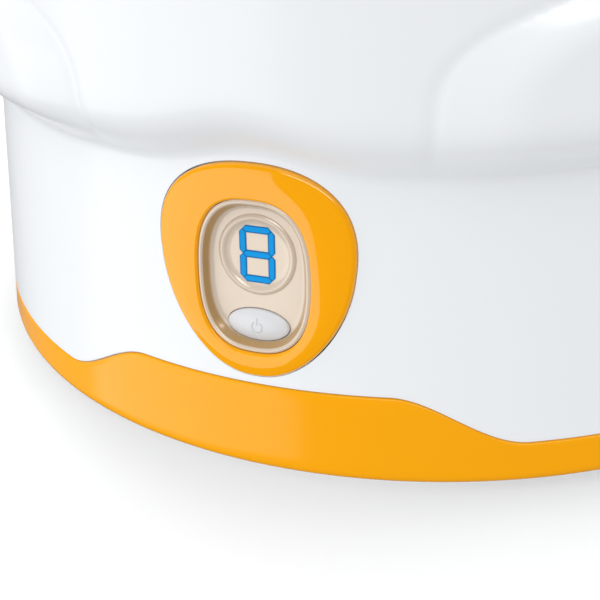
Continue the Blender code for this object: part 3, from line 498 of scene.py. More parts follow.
white_abs = gloss_abs("white_gloss_abs", HOUSING_WHITE, 0.2, 0.12, specular=0.25)
housing_columns = columns(math.radians(0.4), math.radians(1), math.radians(60))
housing = loft(
    "housing_shell",
    [[at(a, r, z) for r, z in housing_section(a)] for a in housing_columns],
    closed=True,
    sharp=50,
)
bosses, holes = [], [panel_cutter("panel_opening", panel_outline, GAP, -8 * MM, 6 * MM)]
for k, corner in enumerate(CORNERS, 1):
    foot, top = PLATE_TOP_Z + GAP, PLATE_TOP_Z + GAP + BOSS_HEIGHT
    centre = Matrix.Translation(at(corner, WALL_FOOT - SCREW_INSET, 0))
    boss = [(0, top), (BOSS_RADIUS, top), (BOSS_RADIUS, foot), (0, foot)]
    bosses.append(turned(f"boss_{k}", boss, 40, centre))
    half, long = RIB_WIDTH / 2, wall_radius(top) - WALL / 2 - (WALL_FOOT - SCREW_INSET)
    corners = [(half, 0), (-half, 0), (-half, -long), (half, -long)]
    ends = [[(x, y, z) for x, y in corners] for z in (top - RIB_HEIGHT, top - 2 * GAP)]
    bosses.append(loft(f"rib_{k}", ends, matrix=centre @ Matrix.Rotation(corner, 4, "Z")))
    deep, bore = foot + BOSS_HOLE, SCREW_RADIUS + GAP
    hole = [(0, deep), (bore, deep), (bore, foot - 1 * MM), (0, foot - 1 * MM)]
    holes.append(turned(f"boss_hole_{k}", hole, 24, centre))
boolean(housing, bosses, "UNION", sharp=50)
boolean(housing, holes, sharp=50)
finish(housing, white_abs, "root", "white_casing", "housing")


# ------------------------------------------------------------------------------------------
# Base ring. An orange ABS band, flush with the housing above it along a wavy line that is
# high at the front, under the panel, and at the rear, round the cord outlet.

RING_ORANGE = "FFAC00"
RING_FOOT_LAND = 5.0 * MM
RING_FLANGE = 2.4 * MM
GLAND_UP = 13.2 * MM
GLAND_HOLE = 4.9 * MM


def ring_section(azimuth):
    top = ring_top(azimuth) - GAP / 2
    middle = BASE_Z + RING_ROUNDING
    outer = wall_radius(middle)
    section = arc((outer - RING_ROUNDING, middle), RING_ROUNDING, -90, 0, 12)
    for k in range(1, 9):
        z = middle + (top - LOWER_EDGE - middle) * k / 8
        section.append((wall_radius(z), z))
    rim = wall_radius(top)
    section += arc((rim - LOWER_EDGE, top - LOWER_EDGE), LOWER_EDGE, 30, 90, 2)
    section.append((rim - WALL, top))
    flange_z = PLATE_TOP_Z + GAP
    inner = WALL_FOOT - RING_FOOT_LAND
    shelf = flange_z + WALL
    section += [(wall_radius(shelf) - WALL, shelf), (inner - RING_FLANGE, shelf)]
    section += [(inner - RING_FLANGE, flange_z), (inner, flange_z), (inner, BASE_Z)]
    return section


orange_abs = gloss_abs("orange_gloss_abs", RING_ORANGE, 0.16, 0.1, specular=0.3)
ring_columns = columns(math.radians(1), math.radians(1), math.pi)
base_ring = loft(
    "base_ring_band",
    [[at(a, r, z) for r, z in ring_section(a)] for a in ring_columns],
    closed=True,
    sharp=50,
)
gland_z = BASE_Z + GLAND_UP
gland_frame = Matrix.Translation(at(math.pi, wall_radius(gland_z), gland_z)) @ Matrix.Rotation(
    PANEL_TILT - math.pi / 2, 4, "X"
)
reach = 2 * WALL
gland_hole = [(0, reach), (GLAND_HOLE, reach), (GLAND_HOLE, -reach), (0, -reach)]
boolean(base_ring, [turned("gland_hole", gland_hole, 48, gland_frame)])
finish(base_ring, orange_abs, "root", "orange_trim", "base_ring")
base_ring.visible_diffuse = False  # so that it doesn't tint the board round it


# ------------------------------------------------------------------------------------------
# Control bezel. An egg-shaped orange ABS frame, polished harder than the ring, that is
# clipped into the housing and stands about a millimetre proud of it, with rounded edges.

BEZEL_PROUD = 1.2 * MM
BEZEL_BACK = 2.0 * MM
BEZEL_CROWN = 0.25 * MM
OUTER_EDGE = 1.0 * MM
INNER_EDGE = 0.5 * MM
WINDOW_HALF_WIDTH = 12.93 * MM
WINDOW_HALF_HEIGHT = 16.8 * MM
WINDOW_POWER = 2.62
WINDOW_DROP = 1.1 * MM
BEZEL_POINTS = 240


def window_outline(angle, grow=0.0):
    half_width, half_height = WINDOW_HALF_WIDTH + grow, WINDOW_HALF_HEIGHT + grow
    return egg(angle, half_width, half_height, WINDOW_POWER, 0, -WINDOW_DROP)


def wall_drop(x):
    """How far the round wall falls back behind the panel's plane at this distance across."""
    radius = wall_radius(PANEL_Z)
    return (radius - math.sqrt(radius**2 - x**2)) * math.cos(PANEL_TILT)


def outline_ring(outline, grow, height, follow=1.0):
    """A ring on an outline, at a height over the wall, or over the panel's plane at follow 0."""
    ring = []
    for k in range(BEZEL_POINTS):
        x, y = outline(2 * math.pi * (k + 0.5) / BEZEL_POINTS, grow)
        ring.append(Vector((x, y, height - follow * wall_drop(x))))
    return ring


def between(ring, other, share):
    return [a.lerp(b, share) for a, b in zip(ring, other)]


brow = BEZEL_PROUD - BEZEL_CROWN
bezel_rings = [outline_ring(panel_outline, 0, -BEZEL_BACK)]
for across, up in arc((-OUTER_EDGE, brow - OUTER_EDGE), OUTER_EDGE, 0, 90, 7):
    bezel_rings.append(outline_ring(panel_outline, across, up))
top_outer = bezel_rings[-1]
top_inner = outline_ring(window_outline, INNER_EDGE, brow)
for k in range(1, 14):
    share = k / 14
    lift = Vector((0, 0, BEZEL_CROWN * math.sin(math.pi * share)))
    bezel_rings.append([point + lift for point in between(top_outer, top_inner, share)])
for across, up in arc((INNER_EDGE, brow - INNER_EDGE), INNER_EDGE, 90, 180, 5):
    bezel_rings.append(outline_ring(window_outline, across, up))
bezel_rings.append(outline_ring(window_outline, 0, -BEZEL_BACK))
bezel = loft("bezel_frame", bezel_rings, closed=True, sharp=50, matrix=panel_frame)
polished_orange = gloss_abs("polished_orange_abs", "FFAC00", 0.07, 0.05, specular=0.3, coat=0.5)
finish(bezel, polished_orange, "root", "orange_trim", "control_bezel")
bezel.visible_diffuse = False  # so that it doesn't tint the overhang above it


# ------------------------------------------------------------------------------------------
# Display window. A champagne-coloured dish of pearl-lacquered acrylic, set into the bezel:
# a glossy wall with painted brown shade in its depth, and a flat floor with an oval hole
# for the key.

WINDOW_DEPTH = 2.6 * MM
WINDOW_WALL = 1.2 * MM
WINDOW_DRAFT = 0.9 * MM
WINDOW_SINK = 0.75 * MM  # of its rim below the top of the bezel
WINDOW_EDGE = 0.5 * MM
WINDOW_FILLET = 0.8 * MM
DIGIT_UP = 3.1 * MM
LENS_RADIUS = 8.8 * MM
LENS_CLEARANCE = 0.03 * MM
BUTTON_DOWN = 12.4 * MM
BUTTON_HALF_WIDTH = 7.1 * MM
BUTTON_HALF_HEIGHT = 3.5 * MM


def lens_ring(radius, height):
    turns = [2 * math.pi * (k + 0.5) / BEZEL_POINTS for k in range(BEZEL_POINTS)]
    return [Vector((radius * math.cos(t), DIGIT_UP + radius * math.sin(t), height)) for t in turns]


rim_top = BEZEL_PROUD - WINDOW_SINK
rim_middle = -GAP / 2 - WINDOW_EDGE
window_rings = [outline_ring(window_outline, -GAP / 2, -WINDOW_DEPTH - WINDOW_WALL, 0)]
for across, up in arc((rim_middle, rim_top - WINDOW_EDGE), WINDOW_EDGE, 0, 180, 8):
    window_rings.append(outline_ring(window_outline, across, up))
wall_top, wall_high = rim_middle - WINDOW_EDGE, rim_top - WINDOW_EDGE
wall_foot, wall_low = wall_top - WINDOW_DRAFT, -WINDOW_DEPTH + WINDOW_FILLET
for k in range(1, 5):
    share = k / 4
    grow = wall_top + (wall_foot - wall_top) * share
    depth = wall_high + (wall_low - wall_high) * share
    window_rings.append(outline_ring(window_outline, grow, depth, 1 - share))
for across, up in arc((0, 0), WINDOW_FILLET, 180, 270, 5)[1:]:
    grow = wall_foot - WINDOW_FILLET - across
    window_rings.append(outline_ring(window_outline, grow, wall_low + up, 0))
floor_edge = window_rings[-1]
lens_edge = lens_ring(LENS_RADIUS + LENS_CLEARANCE, -WINDOW_DEPTH)
window_rings += [between(floor_edge, lens_edge, k / 6) for k in range(1, 7)]
window_rings.append(lens_ring(LENS_RADIUS + LENS_CLEARANCE, -WINDOW_DEPTH - WINDOW_WALL))
window = loft("window_dish", window_rings, closed=True, sharp=50, matrix=panel_frame)


def button_outline(angle, grow=0.0):
    return (
        (BUTTON_HALF_WIDTH + grow) * math.cos(angle),
        -BUTTON_DOWN + (BUTTON_HALF_HEIGHT + grow) * math.sin(angle),
    )


boolean(window, [panel_cutter("button_hole", button_outline, 0.2 * MM, -6 * MM, -1 * MM, 96)])


def champagne_lacquer(name, floor_colour, wall_shade_colour, flake):
    """Pearl lacquer on acrylic with fine flakes on the floor. Its walls carry painted shade: they
    are tinted brown for the shade in the recess, and the tint fades out again towards the rim."""
    material, shader = new_material(name)
    place = add_node(material, "ShaderNodeTexCoord").outputs["Object"]
    out = panel_frame.to_3x3() @ Vector((0, 0, 1))
    height = add_node(
        material, "ShaderNodeVectorMath", {0: place, 1: tuple(out)}, operation="DOT_PRODUCT"
    )
    floor_at = out.dot(panel_frame.translation) - WINDOW_DEPTH
    steep = add_node(
        material,
        "ShaderNodeMapRange",
        {
            "Value": height.outputs["Value"],
            "From Min": floor_at + 0.25 * MM,
            "From Max": floor_at + 1.1 * MM,
        },
        interpolation_type="SMOOTHSTEP",
    )
    flakes = add_node(material, "ShaderNodeTexVoronoi", {"Vector": place, "Scale": 1 / (0.3 * MM)})
    cloud = add_node(material, "ShaderNodeTexNoise", {"Vector": place, "Scale": 1 / (6 * MM)})
    grain = add_node(
        material,
        "ShaderNodeMix",
        {"Factor": flake, "A": cloud.outputs["Fac"], "B": flakes.outputs["Distance"]},
        data_type="FLOAT",
    )
    pearl = add_node(
        material,
        "ShaderNodeMix",
        {"Factor": grain.outputs["Result"], "A": linear(floor_colour, 0.93), "B": linear(floor_colour)},
        data_type="RGBA",
    )
    flat = add_node(
        material, "ShaderNodeVectorMath", {0: place, 1: (1, 1, 0)}, operation="MULTIPLY"
    )
    out_from_axis = add_node(
        material, "ShaderNodeVectorMath", {0: flat.outputs["Vector"]}, operation="LENGTH"
    )
    up = add_node(material, "ShaderNodeSeparateXYZ", {"Vector": place}).outputs["Z"]
    over_wall = add_node(
        material,
        "ShaderNodeMath",
        {0: up, 1: WALL_LEAN, 2: out_from_axis.outputs["Value"]},
        operation="MULTIPLY_ADD",
    )
    rim_at = WALL_FOOT + WALL_LEAN * BASE_Z + rim_top
    # The painted wall shade fades out towards the top of the rim.
    shade_off_at_rim = add_node(
        material,
        "ShaderNodeMapRange",
        {
            "Value": over_wall.outputs["Value"],
            "From Min": rim_at - 0.55 * MM,
            "From Max": rim_at - 0.3 * MM,
            "To Min": 1.0,
            "To Max": 0.1,
        },
    )
    # Painted shade: the walls of the recess are tinted brown for the shade that falls in them.
    painted_wall_shade = add_node(
        material,
        "ShaderNodeMath",
        {0: steep.outputs["Result"], 1: shade_off_at_rim.outputs["Result"]},
        operation="MULTIPLY",
    )
    tint = add_node(
        material,
        "ShaderNodeMix",
        {
            "Factor": painted_wall_shade.outputs["Value"],
            "A": pearl.outputs["Result"],
            "B": linear(wall_shade_colour),
        },
        data_type="RGBA",
    )
    feed(material, shader, Base_Color=tint.outputs["Result"], Roughness=0.28, Metallic=0.1)
    feed(material, shader, Coat_Weight=0.6, Coat_Roughness=0.06)
    return material


# The second colour is the painted brown shade on the walls of the recess.
champagne = champagne_lacquer("champagne_pearl_lacquer", "E6D5C2", "B89460", 0.3)
finish(window, champagne, "root", "window_champagne", "display_window")


# ------------------------------------------------------------------------------------------
# Display lens. A round acrylic lens pressed into the window, with a raised rounded rim and a
# shallow dish inside it. The blue digit behind it shines through as seven crisp bars.

LENS_RIM = 1.6 * MM
LENS_RIM_RISE = 0.45 * MM
LENS_SINK = 0.05 * MM  # of the dish's edge, and twice as much again in its middle

lens_profile = [(LENS_RADIUS, -WINDOW_WALL), (LENS_RADIUS, 0)]
for k in range(1, 13):
    share = k / 12
    height = LENS_RIM_RISE * math.sin(math.pi * share) ** 0.8 - LENS_SINK * share
    lens_profile.append((LENS_RADIUS - LENS_RIM * share, height))
for k in range(1, 7):
    share = k / 6
    lens_profile.append(((LENS_RADIUS - LENS_RIM) * (1 - share), -LENS_SINK - 2 * LENS_SINK * share))
lens_profile.append((0, -WINDOW_WALL))
lens_matrix = panel_frame @ Matrix.Translation((0, DIGIT_UP, -WINDOW_DEPTH))
lens = turned("round_lens", lens_profile, 128, lens_matrix, sharp=60)
finish(lens, champagne, "root", "display_lens", "display_lens")

DIGIT_WIDTH = 8.1 * MM
DIGIT_HEIGHT = 12.4 * MM
BAR = 1.6 * MM
BAR_OVERLAP = 0.1 * MM  # of two bars' glow at their joint
BAR_BEVEL = 0.05 * MM
FACE_INSET = 0.26 * MM


def bar_outline(length, width):
    """A seven-segment bar: a long hexagon with pointed ends, lying along x."""
    half, end = width / 2, length / 2
    upper = [(-end, 0), (-end + half, half), (end - half, half)]
    return upper + [(-x, -y) for x, y in upper]


def digit_bars(name, inset, low, high):
    """The seven bars of the figure 8, as one piece of separate closed bars."""
    across = DIGIT_WIDTH - BAR
    up = (DIGIT_HEIGHT - BAR) / 2
    places = [(0, k * up, 0) for k in (-1, 0, 1)]
    places += [(side * across / 2, k * up / 2, 90) for side in (-1, 1) for k in (-1, 1)]
    bm = bmesh.new()
    for x, y, turn in places:
        length = (up if turn else across) + 2 * BAR_OVERLAP - 2 * inset
        turned_to = Matrix.Translation((x, y, 0)) @ Matrix.Rotation(math.radians(turn), 4, "Z")
        ends = []
        for height, shrink in ((low, 0), (high - 0.03 * MM, 0), (high, BAR_BEVEL)):
            outline = bar_outline(length - 2 * shrink, BAR - 2 * inset - 2 * shrink)
            ends.append([bm.verts.new(turned_to @ Vector((*point, height))) for point in outline])
        bm.faces.new(ends[0])
        bm.faces.new(ends[-1])
        for one, two in zip(ends, ends[1:]):
            for i in range(6):
                j = (i + 1) % 6
                bm.faces.new((one[i], one[j], two[j], two[i]))
    bm.transform(lens_matrix)
    return mesh_object(name, bm, 20)


def lit_blue(name, colour, glow):
    """The lit face of an LED bar: even colour with a little glow of its own."""
    material, shader = new_material(name)
    feed(material, shader, Base_Color=linear(colour), Roughness=0.35, Specular_IOR_Level=0.1)
    feed(material, shader, Emission_Color=linear(colour), Emission_Strength=glow)
    return material


digit_edge = digit_bars("digit_edges", 0, -0.3 * MM, 0.02 * MM)
finish(digit_edge, lit_blue("blue_led_edge", "0069A8", 0.1), "root", "display_blue")
digit_face = digit_bars("digit_faces", FACE_INSET, -0.2 * MM, 0.06 * MM)
finish(digit_face, lit_blue("blue_led_face", "0092DA", 0.12), "root", "display_blue")


# ------------------------------------------------------------------------------------------
# Power button. An oval key of satin pale-grey ABS, gently domed, with the standard on-off
# symbol raised on it. It slides square to the panel.

BUTTON_PROUD = 1.3 * MM
BUTTON_CROWN = 0.7 * MM
BUTTON_FLANGE = 1.2 * MM
BUTTON_EDGE = 0.35 * MM


def key_height(share):
    """Height of the key's top over the window's floor, at this share of its half-width."""
    return BUTTON_PROUD - BUTTON_CROWN * share**2.2


key_profile = [(0, key_height(0))]
key_profile += [(k / 20, key_height(k / 20)) for k in range(1, 19)]
for k in range(1, 7):
    turn = math.radians(15 * k)
    drop = BUTTON_EDGE * (1 - math.cos(turn)) + 0.1 * MM * k / 6
    key_profile.append((0.9 + 0.1 * math.sin(turn), key_height(0.9) - drop))
key_back = -WINDOW_WALL - GAP
key_flange = 1 + 1.0 * MM / BUTTON_HALF_WIDTH
key_profile += [(1, key_back), (key_flange, key_back), (key_flange, key_back - BUTTON_FLANGE)]
key_profile += [(0, key_back - BUTTON_FLANGE)]
key_matrix = (
    panel_frame
    @ Matrix.Translation((0, -BUTTON_DOWN, -WINDOW_DEPTH))
    @ Matrix.Diagonal((BUTTON_HALF_WIDTH, BUTTON_HALF_HEIGHT, 1, 1))
)
power_key = turned("power_key", key_profile, 128, key_matrix, sharp=60)
grey_abs = gloss_abs("satin_grey_abs", "DFE0E3", 0.28, 0.05)
finish(power_key, grey_abs, "power_button", "button_grey", "power_button")

SYMBOL_RADIUS = 1.15 * MM
SYMBOL_STROKE = 0.17 * MM


def raised_line(name, points, radius):
    """A rounded raised line on the key, following its dome."""
    curve = bpy.data.curves.new(name, "CURVE")
    curve.dimensions = "3D"
    curve.bevel_depth = radius
    curve.bevel_resolution = 3
    curve.use_fill_caps = True
    spline = curve.splines.new("POLY")
    spline.points.add(len(points) - 1)
    for spline_point, (x, y) in zip(spline.points, points):
        share = math.hypot(x / BUTTON_HALF_WIDTH, y / BUTTON_HALF_HEIGHT)
        spline_point.co = (x, y, key_height(share) - 0.3 * radius, 1)
    obj = bpy.data.objects.new(name, curve)
    scene.collection.objects.link(obj)
    obj.matrix_world = panel_frame @ Matrix.Translation((0, -BUTTON_DOWN, -WINDOW_DEPTH))
    return obj


open_ring = [math.radians(90 + 35 + 290 * k / 40) for k in range(41)]
ring_points = [
    (SYMBOL_RADIUS * math.cos(t), -0.25 * MM + SYMBOL_RADIUS * math.sin(t)) for t in open_ring
]
symbol_ring = raised_line("on_off_ring", ring_points, SYMBOL_STROKE)
symbol_bar = raised_line("on_off_bar", [(0, 0.1 * MM), (0, 0.9 * MM), (0, 1.7 * MM)], SYMBOL_STROKE)
symbol_grey = gloss_abs("raised_symbol_grey", "D3D5D9", 0.25, 0.0)
for piece in (symbol_ring, symbol_bar):
    finish(piece, symbol_grey, "power_button", "button_grey")


# ------------------------------------------------------------------------------------------
# Cord gland. A soft rubber bush snapped into the hole at the rear of the base ring, square to
# the wall. It keeps the edge of the ABS off the mains lead.

GLAND_BORE = 3.6 * MM
GLAND_NECK = 4.6 * MM
GLAND_FLANGE = 5.9 * MM
GLAND_LIP = 0.6 * MM
GLAND_BACK = 1.6 * MM
GLAND_EDGE = 0.3 * MM


def rubber(name, colour, roughness):
    """Moulded rubber: matt, with a fine even grain and a faint bloom on its surface."""
    material, shader = new_material(name)
    place = add_node(material, "ShaderNodeTexCoord").outputs["Object"]
    bloom = add_node(
        material, "ShaderNodeTexNoise", {"Vector": place, "Scale": 1 / (5 * MM), "Detail": 3.0}
    )
    pale = [min(1.0, c * 1.25 + 0.004) for c in linear(colour)[:3]] + [1.0]
    mix = add_node(
        material,
        "ShaderNodeMix",
        {"Factor": bloom.outputs["Fac"], "A": linear(colour), "B": pale},
        data_type="RGBA",
    )
    grain = add_node(
        material, "ShaderNodeTexNoise", {"Vector": place, "Scale": 1 / (0.4 * MM), "Detail": 2.0}
    )
    bump = add_node(
        material,
        "ShaderNodeBump",
        {"Height": grain.outputs["Fac"], "Strength": 0.4, "Distance": 0.03 * MM},
    )
    feed(material, shader, Base_Color=mix.outputs["Result"], Roughness=roughness, IOR=1.5)
    feed(material, shader, Normal=bump.outputs["Normal"])
    return material


behind = WALL + 2 * GAP
lip_top, half_lip = GAP + GLAND_LIP, GLAND_LIP / 2
gland_profile = [(GLAND_BORE, lip_top - GLAND_EDGE), (GLAND_BORE + GLAND_EDGE, lip_top)]
gland_profile += arc((GLAND_FLANGE - half_lip, GAP + half_lip), half_lip, 90, -90, 8)
gland_profile += [(GLAND_NECK, GAP), (GLAND_NECK, -behind)]
gland_profile += arc((GLAND_FLANGE - GLAND_EDGE, -behind - GLAND_EDGE), GLAND_EDGE, 90, 0, 3)
gland_profile += [(GLAND_FLANGE - 0.5 * MM, -behind - GLAND_BACK)]
gland_profile += [(GLAND_BORE, -behind - GLAND_BACK)]
gland = turned("cord_gland_bush", gland_profile, 64, gland_frame)
finish(gland, rubber("pale_grey_rubber", "D4D5D8", 0.55), "root", "gland_rubber", "cord_gland")


# ------------------------------------------------------------------------------------------
# Base plate. A moulded ABS disc with a fine spark texture, recessed for the feet and for the
# screw heads, with two arcs of slots that let the electronics breathe.

PLATE_RADIUS = WALL_FOOT - RING_FOOT_LAND - GAP
PLATE_EDGE = 0.6 * MM
FOOT_INSET = 30.0 * MM
FOOT_RADIUS = 9.0 * MM
FOOT_RECESS = 2.0 * MM
SCREW_HEAD_RADIUS = 3.2 * MM
SCREW_RECESS = 2.4 * MM
SLOT_LENGTH = 16.0 * MM
SLOT_WIDTH = 2.2 * MM
SLOT_CIRCLE = 70.0 * MM
SLOT_STEP = math.radians(5.5)
POST_RADIUS = 3.0 * MM
POST_HEIGHT = 3.8 * MM
POSTS = [(x * MM, y * MM) for x in (42, -42) for y in (27, -27)]
LABEL_DEPTH = 0.3 * MM
LABEL_BACK = 8.0 * MM
LABEL_CORNER = 3.0 * MM
LABEL_HALF_WIDTH = 32.0 * MM
LABEL_HALF_HEIGHT = 18.0 * MM


def spark_abs(name, colour, roughness, grain):
    """ABS from a spark-eroded mould: an even satin, broken up by a grain of this size."""
    material, shader = new_material(name)
    place = add_node(material, "ShaderNodeTexCoord").outputs["Object"]
    cloud = add_node(
        material, "ShaderNodeTexNoise", {"Vector": place, "Scale": 1 / (25 * MM), "Detail": 3.0}
    )
    mix = add_node(
        material,
        "ShaderNodeMix",
        {"Factor": cloud.outputs["Fac"], "A": linear(colour, 0.94), "B": linear(colour)},
        data_type="RGBA",
    )
    pits = add_node(
        material, "ShaderNodeTexNoise", {"Vector": place, "Scale": 1 / grain, "Detail": 2.0}
    )
    rough = add_node(
        material,
        "ShaderNodeMapRange",
        {"Value": pits.outputs["Fac"], "To Min": roughness * 0.85, "To Max": roughness * 1.15},
    )
    bump = add_node(
        material,
        "ShaderNodeBump",
        {"Height": pits.outputs["Fac"], "Strength": 0.5, "Distance": 0.04 * MM},
    )
    feed(material, shader, Base_Color=mix.outputs["Result"], Roughness=rough.outputs["Result"])
    feed(material, shader, IOR=1.54, Normal=bump.outputs["Normal"])
    return material


def upright(name, radius, low, high, x, y, steps=48, edge=0.0):
    """An upright round pin or cutter, with its upper edge turned over by this much."""
    profile = [(0, high), (radius - edge, high), (radius, high - edge), (radius, low), (0, low)]
    return turned(name, profile, steps, Matrix.Translation((x, y, 0)))


def slot_cutter(name, azimuth):
    """A slot with round ends, pointing to the middle of the plate."""
    end, straight = SLOT_WIDTH / 2, (SLOT_LENGTH - SLOT_WIDTH) / 2
    outline = arc((0, straight), end, 0, 180, 10) + arc((0, -straight), end, 180, 360, 10)
    rings = [[(x, y, z) for x, y in outline] for z in (BASE_Z - 1 * MM, PLATE_TOP_Z + 1 * MM)]
    centre = Matrix.Translation(at(azimuth, SLOT_CIRCLE, 0))
    return loft(name, rings, matrix=centre @ Matrix.Rotation(azimuth, 4, "Z"))


plate_profile = [(0, PLATE_TOP_Z), (PLATE_RADIUS, PLATE_TOP_Z)]
plate_profile += arc((PLATE_RADIUS - PLATE_EDGE, BASE_Z + PLATE_EDGE), PLATE_EDGE, 0, -90, 5)
plate_profile += [(0, BASE_Z)]
plate = turned("base_plate_disc", plate_profile, 180)
cutters = []
for k, corner in enumerate(CORNERS, 1):
    foot_x, foot_y, _ = at(corner, WALL_FOOT - FOOT_INSET, 0)
    screw_x, screw_y, _ = at(corner, WALL_FOOT - SCREW_INSET, 0)
    seat = (BASE_Z - 1 * MM, BASE_Z + FOOT_RECESS)
    cutters.append(upright(f"foot_seat_{k}", FOOT_RADIUS + GAP, *seat, foot_x, foot_y))
    seat = (BASE_Z - 1 * MM, BASE_Z + SCREW_RECESS)
    cutters.append(upright(f"head_seat_{k}", SCREW_HEAD_RADIUS + GAP, *seat, screw_x, screw_y))
    seat = (BASE_Z, PLATE_TOP_Z + 1 * MM)
    cutters.append(upright(f"shank_hole_{k}", SCREW_RADIUS + GAP, *seat, screw_x, screw_y, 24))
for side in (math.pi / 2, -math.pi / 2):
    for k in range(-4, 5):
        cutters.append(slot_cutter(f"vent_{k}", side + k * SLOT_STEP))
label = []
to_side, to_end = LABEL_HALF_WIDTH - LABEL_CORNER, LABEL_HALF_HEIGHT - LABEL_CORNER
for quarter, (side, end) in enumerate(((1, 1), (-1, 1), (-1, -1), (1, -1))):
    centre = (side * to_side, LABEL_BACK + end * to_end)
    label += arc(centre, LABEL_CORNER, 90 * quarter, 90 * quarter + 90, 6)
rings = [[(x, y, z) for x, y in label] for z in (BASE_Z - 1 * MM, BASE_Z + LABEL_DEPTH)]
cutters.append(loft("label_recess", rings))
posts = []
for k, place in enumerate(POSTS, 1):
    span = (PLATE_TOP_Z - 1 * MM, PLATE_TOP_Z + POST_HEIGHT)
    posts.append(upright(f"board_post_{k}", POST_RADIUS, *span, *place, 32, GAP))
boolean(plate, posts, "UNION")
boolean(plate, cutters)
grey_spark = spark_abs("grey_spark_abs", "D2D4D7", 0.5, 0.8 * MM)
finish(plate, grey_spark, "root", "grey_base", "base_plate")


# ------------------------------------------------------------------------------------------
# Feet. Four discs of black rubber pressed into the plate, each with a ring-shaped sucker lip
# that keeps the machine from sliding.

FOOT_UPPER_EDGE = 0.3 * MM
FOOT_LOWER_EDGE = 0.8 * MM
SUCKER = (4.3 * MM, 6.4 * MM)  # inner and outer radius of the groove inside the lip
SUCKER_DEPTH = 0.35 * MM
FOOT_HOLLOW = 0.05 * MM

foot_rubber = rubber("black_rubber", "2E2E30", 0.75)
for k, corner in enumerate(CORNERS, 1):
    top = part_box(f"foot_{k}")[1].z
    foot_x, foot_y, _ = at(corner, WALL_FOOT - FOOT_INSET, 0)
    profile = [(0, top), (FOOT_RADIUS - FOOT_UPPER_EDGE, top), (FOOT_RADIUS, top - FOOT_UPPER_EDGE)]
    profile += arc((FOOT_RADIUS - FOOT_LOWER_EDGE, FOOT_LOWER_EDGE), FOOT_LOWER_EDGE, 0, -90, 7)
    profile += [(SUCKER[1], 0), (SUCKER[1] - 0.3 * MM, SUCKER_DEPTH)]
    profile += [(SUCKER[0] + 0.3 * MM, SUCKER_DEPTH), (SUCKER[0], FOOT_HOLLOW), (0, FOOT_HOLLOW)]
    foot = turned(f"rubber_foot_{k}", profile, 72, Matrix.Translation((foot_x, foot_y, 0)))
    finish(foot, foot_rubber, "root", "foot_rubber", f"foot_{k}")


# ------------------------------------------------------------------------------------------
# Base screws. Zinc-plated self-tapping screws with a pan head and a cross recess, driven
# through the plate into the bosses of the housing.

THREAD_PITCH = 1.3 * MM
THREAD_DEPTH = 0.32 * MM
SCREW_TIP = 1.0 * MM
SCREW_HEAD = 2.0 * MM
SCREW_HEAD_EDGE = 0.9 * MM
CROSS_WIDTH = 0.9 * MM
CROSS_SPAN = 3.4 * MM
CROSS_DEPTH = 1.2 * MM


def plated_metal(name, colour, roughness, scratch):
    """Plated or rolled metal: a bright reflection, dulled along fine scratches."""
    material, shader = new_material(name)
    place = add_node(material, "ShaderNodeTexCoord").outputs["Object"]
    stretch = add_node(material, "ShaderNodeMapping", {"Vector": place, "Scale": (1.0, 0.08, 1.0)})
    lines = add_node(
        material,
        "ShaderNodeTexNoise",
        {"Vector": stretch.outputs["Vector"], "Scale": 1 / scratch, "Detail": 4.0},
    )
    mix = add_node(
        material,
        "ShaderNodeMix",
        {"Factor": lines.outputs["Fac"], "A": linear(colour, 0.86), "B": linear(colour)},
        data_type="RGBA",
    )
    rough = add_node(
        material,
        "ShaderNodeMapRange",
        {"Value": lines.outputs["Fac"], "To Min": roughness * 0.75, "To Max": roughness * 1.3},
    )
    bump = add_node(
        material,
        "ShaderNodeBump",
        {"Height": lines.outputs["Fac"], "Strength": 0.3, "Distance": 0.01 * MM},
    )
    feed(material, shader, Base_Color=mix.outputs["Result"], Roughness=rough.outputs["Result"])
    feed(material, shader, Metallic=1.0, Normal=bump.outputs["Normal"])
    return material


def cross_cutter(name, matrix):
    """A cross recess that narrows as it deepens, cut downwards from the origin."""
    blades = []
    for k in range(2):
        rings = []
        for z, share in ((0.5 * MM, 1.15), (-CROSS_DEPTH, 0.45)):
            half, span = CROSS_WIDTH / 2 * share, CROSS_SPAN / 2 * share
            rings.append([(span, half, z), (-span, half, z), (-span, -half, z), (span, -half, z)])
        turn = matrix @ Matrix.Rotation(math.pi / 2 * k, 4, "Z")
        blades.append(loft(f"{name}_{k}", rings, matrix=turn))
    return blades


def pan_head_screw(name, node, radius, head_radius, head, edge, side, steps, place=(0, 0)):
    """A self-tapping screw that points up and is as long as its CAD node: a tip, ridges of
    thread, a shank, and a pan head with a straight side down to this height, then a rounding."""
    low, high = (corner.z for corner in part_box(node))
    tip, neck = high - SCREW_TIP, low + head
    profile = [(0, high), (radius, tip)]
    for ridge in range(int((tip - neck) / THREAD_PITCH)):
        z = tip - THREAD_PITCH * (ridge + 0.5)
        profile += [(radius - THREAD_DEPTH, z), (radius, z - THREAD_PITCH / 2)]
    profile += [(radius, neck), (head_radius, neck), (head_radius, low + side)]
    profile += arc((head_radius - edge, low + edge), edge, 0, -80, 6) + [(0, low)]
    screw = turned(name, profile, steps, Matrix.Translation((*place, 0)))
    downward = Matrix.Translation((*place, low)) @ Matrix.Rotation(math.pi, 4, "X")
    return boolean(screw, cross_cutter(f"{name}_cross", downward))


zinc = plated_metal("zinc_plated_steel", "C2C5C9", 0.28, 0.5 * MM)
for k, corner in enumerate(CORNERS, 1):
    x, y, _ = at(corner, WALL_FOOT - SCREW_INSET, 0)
    head_shape = (SCREW_HEAD_RADIUS, SCREW_HEAD, SCREW_HEAD_EDGE, SCREW_HEAD_EDGE)
    node = f"base_screw_{k}"
    screw = pan_head_screw(f"pan_head_screw_{k}", node, SCREW_RADIUS, *head_shape, 48, (x, y))
    finish(screw, zinc, "root", "zinc_screw", node)


# ------------------------------------------------------------------------------------------
# Inner well. A deep-drawn pan of white-enamelled aluminium that the jars stand in. Its rim
# lies on the seal, over the ledge of the housing.

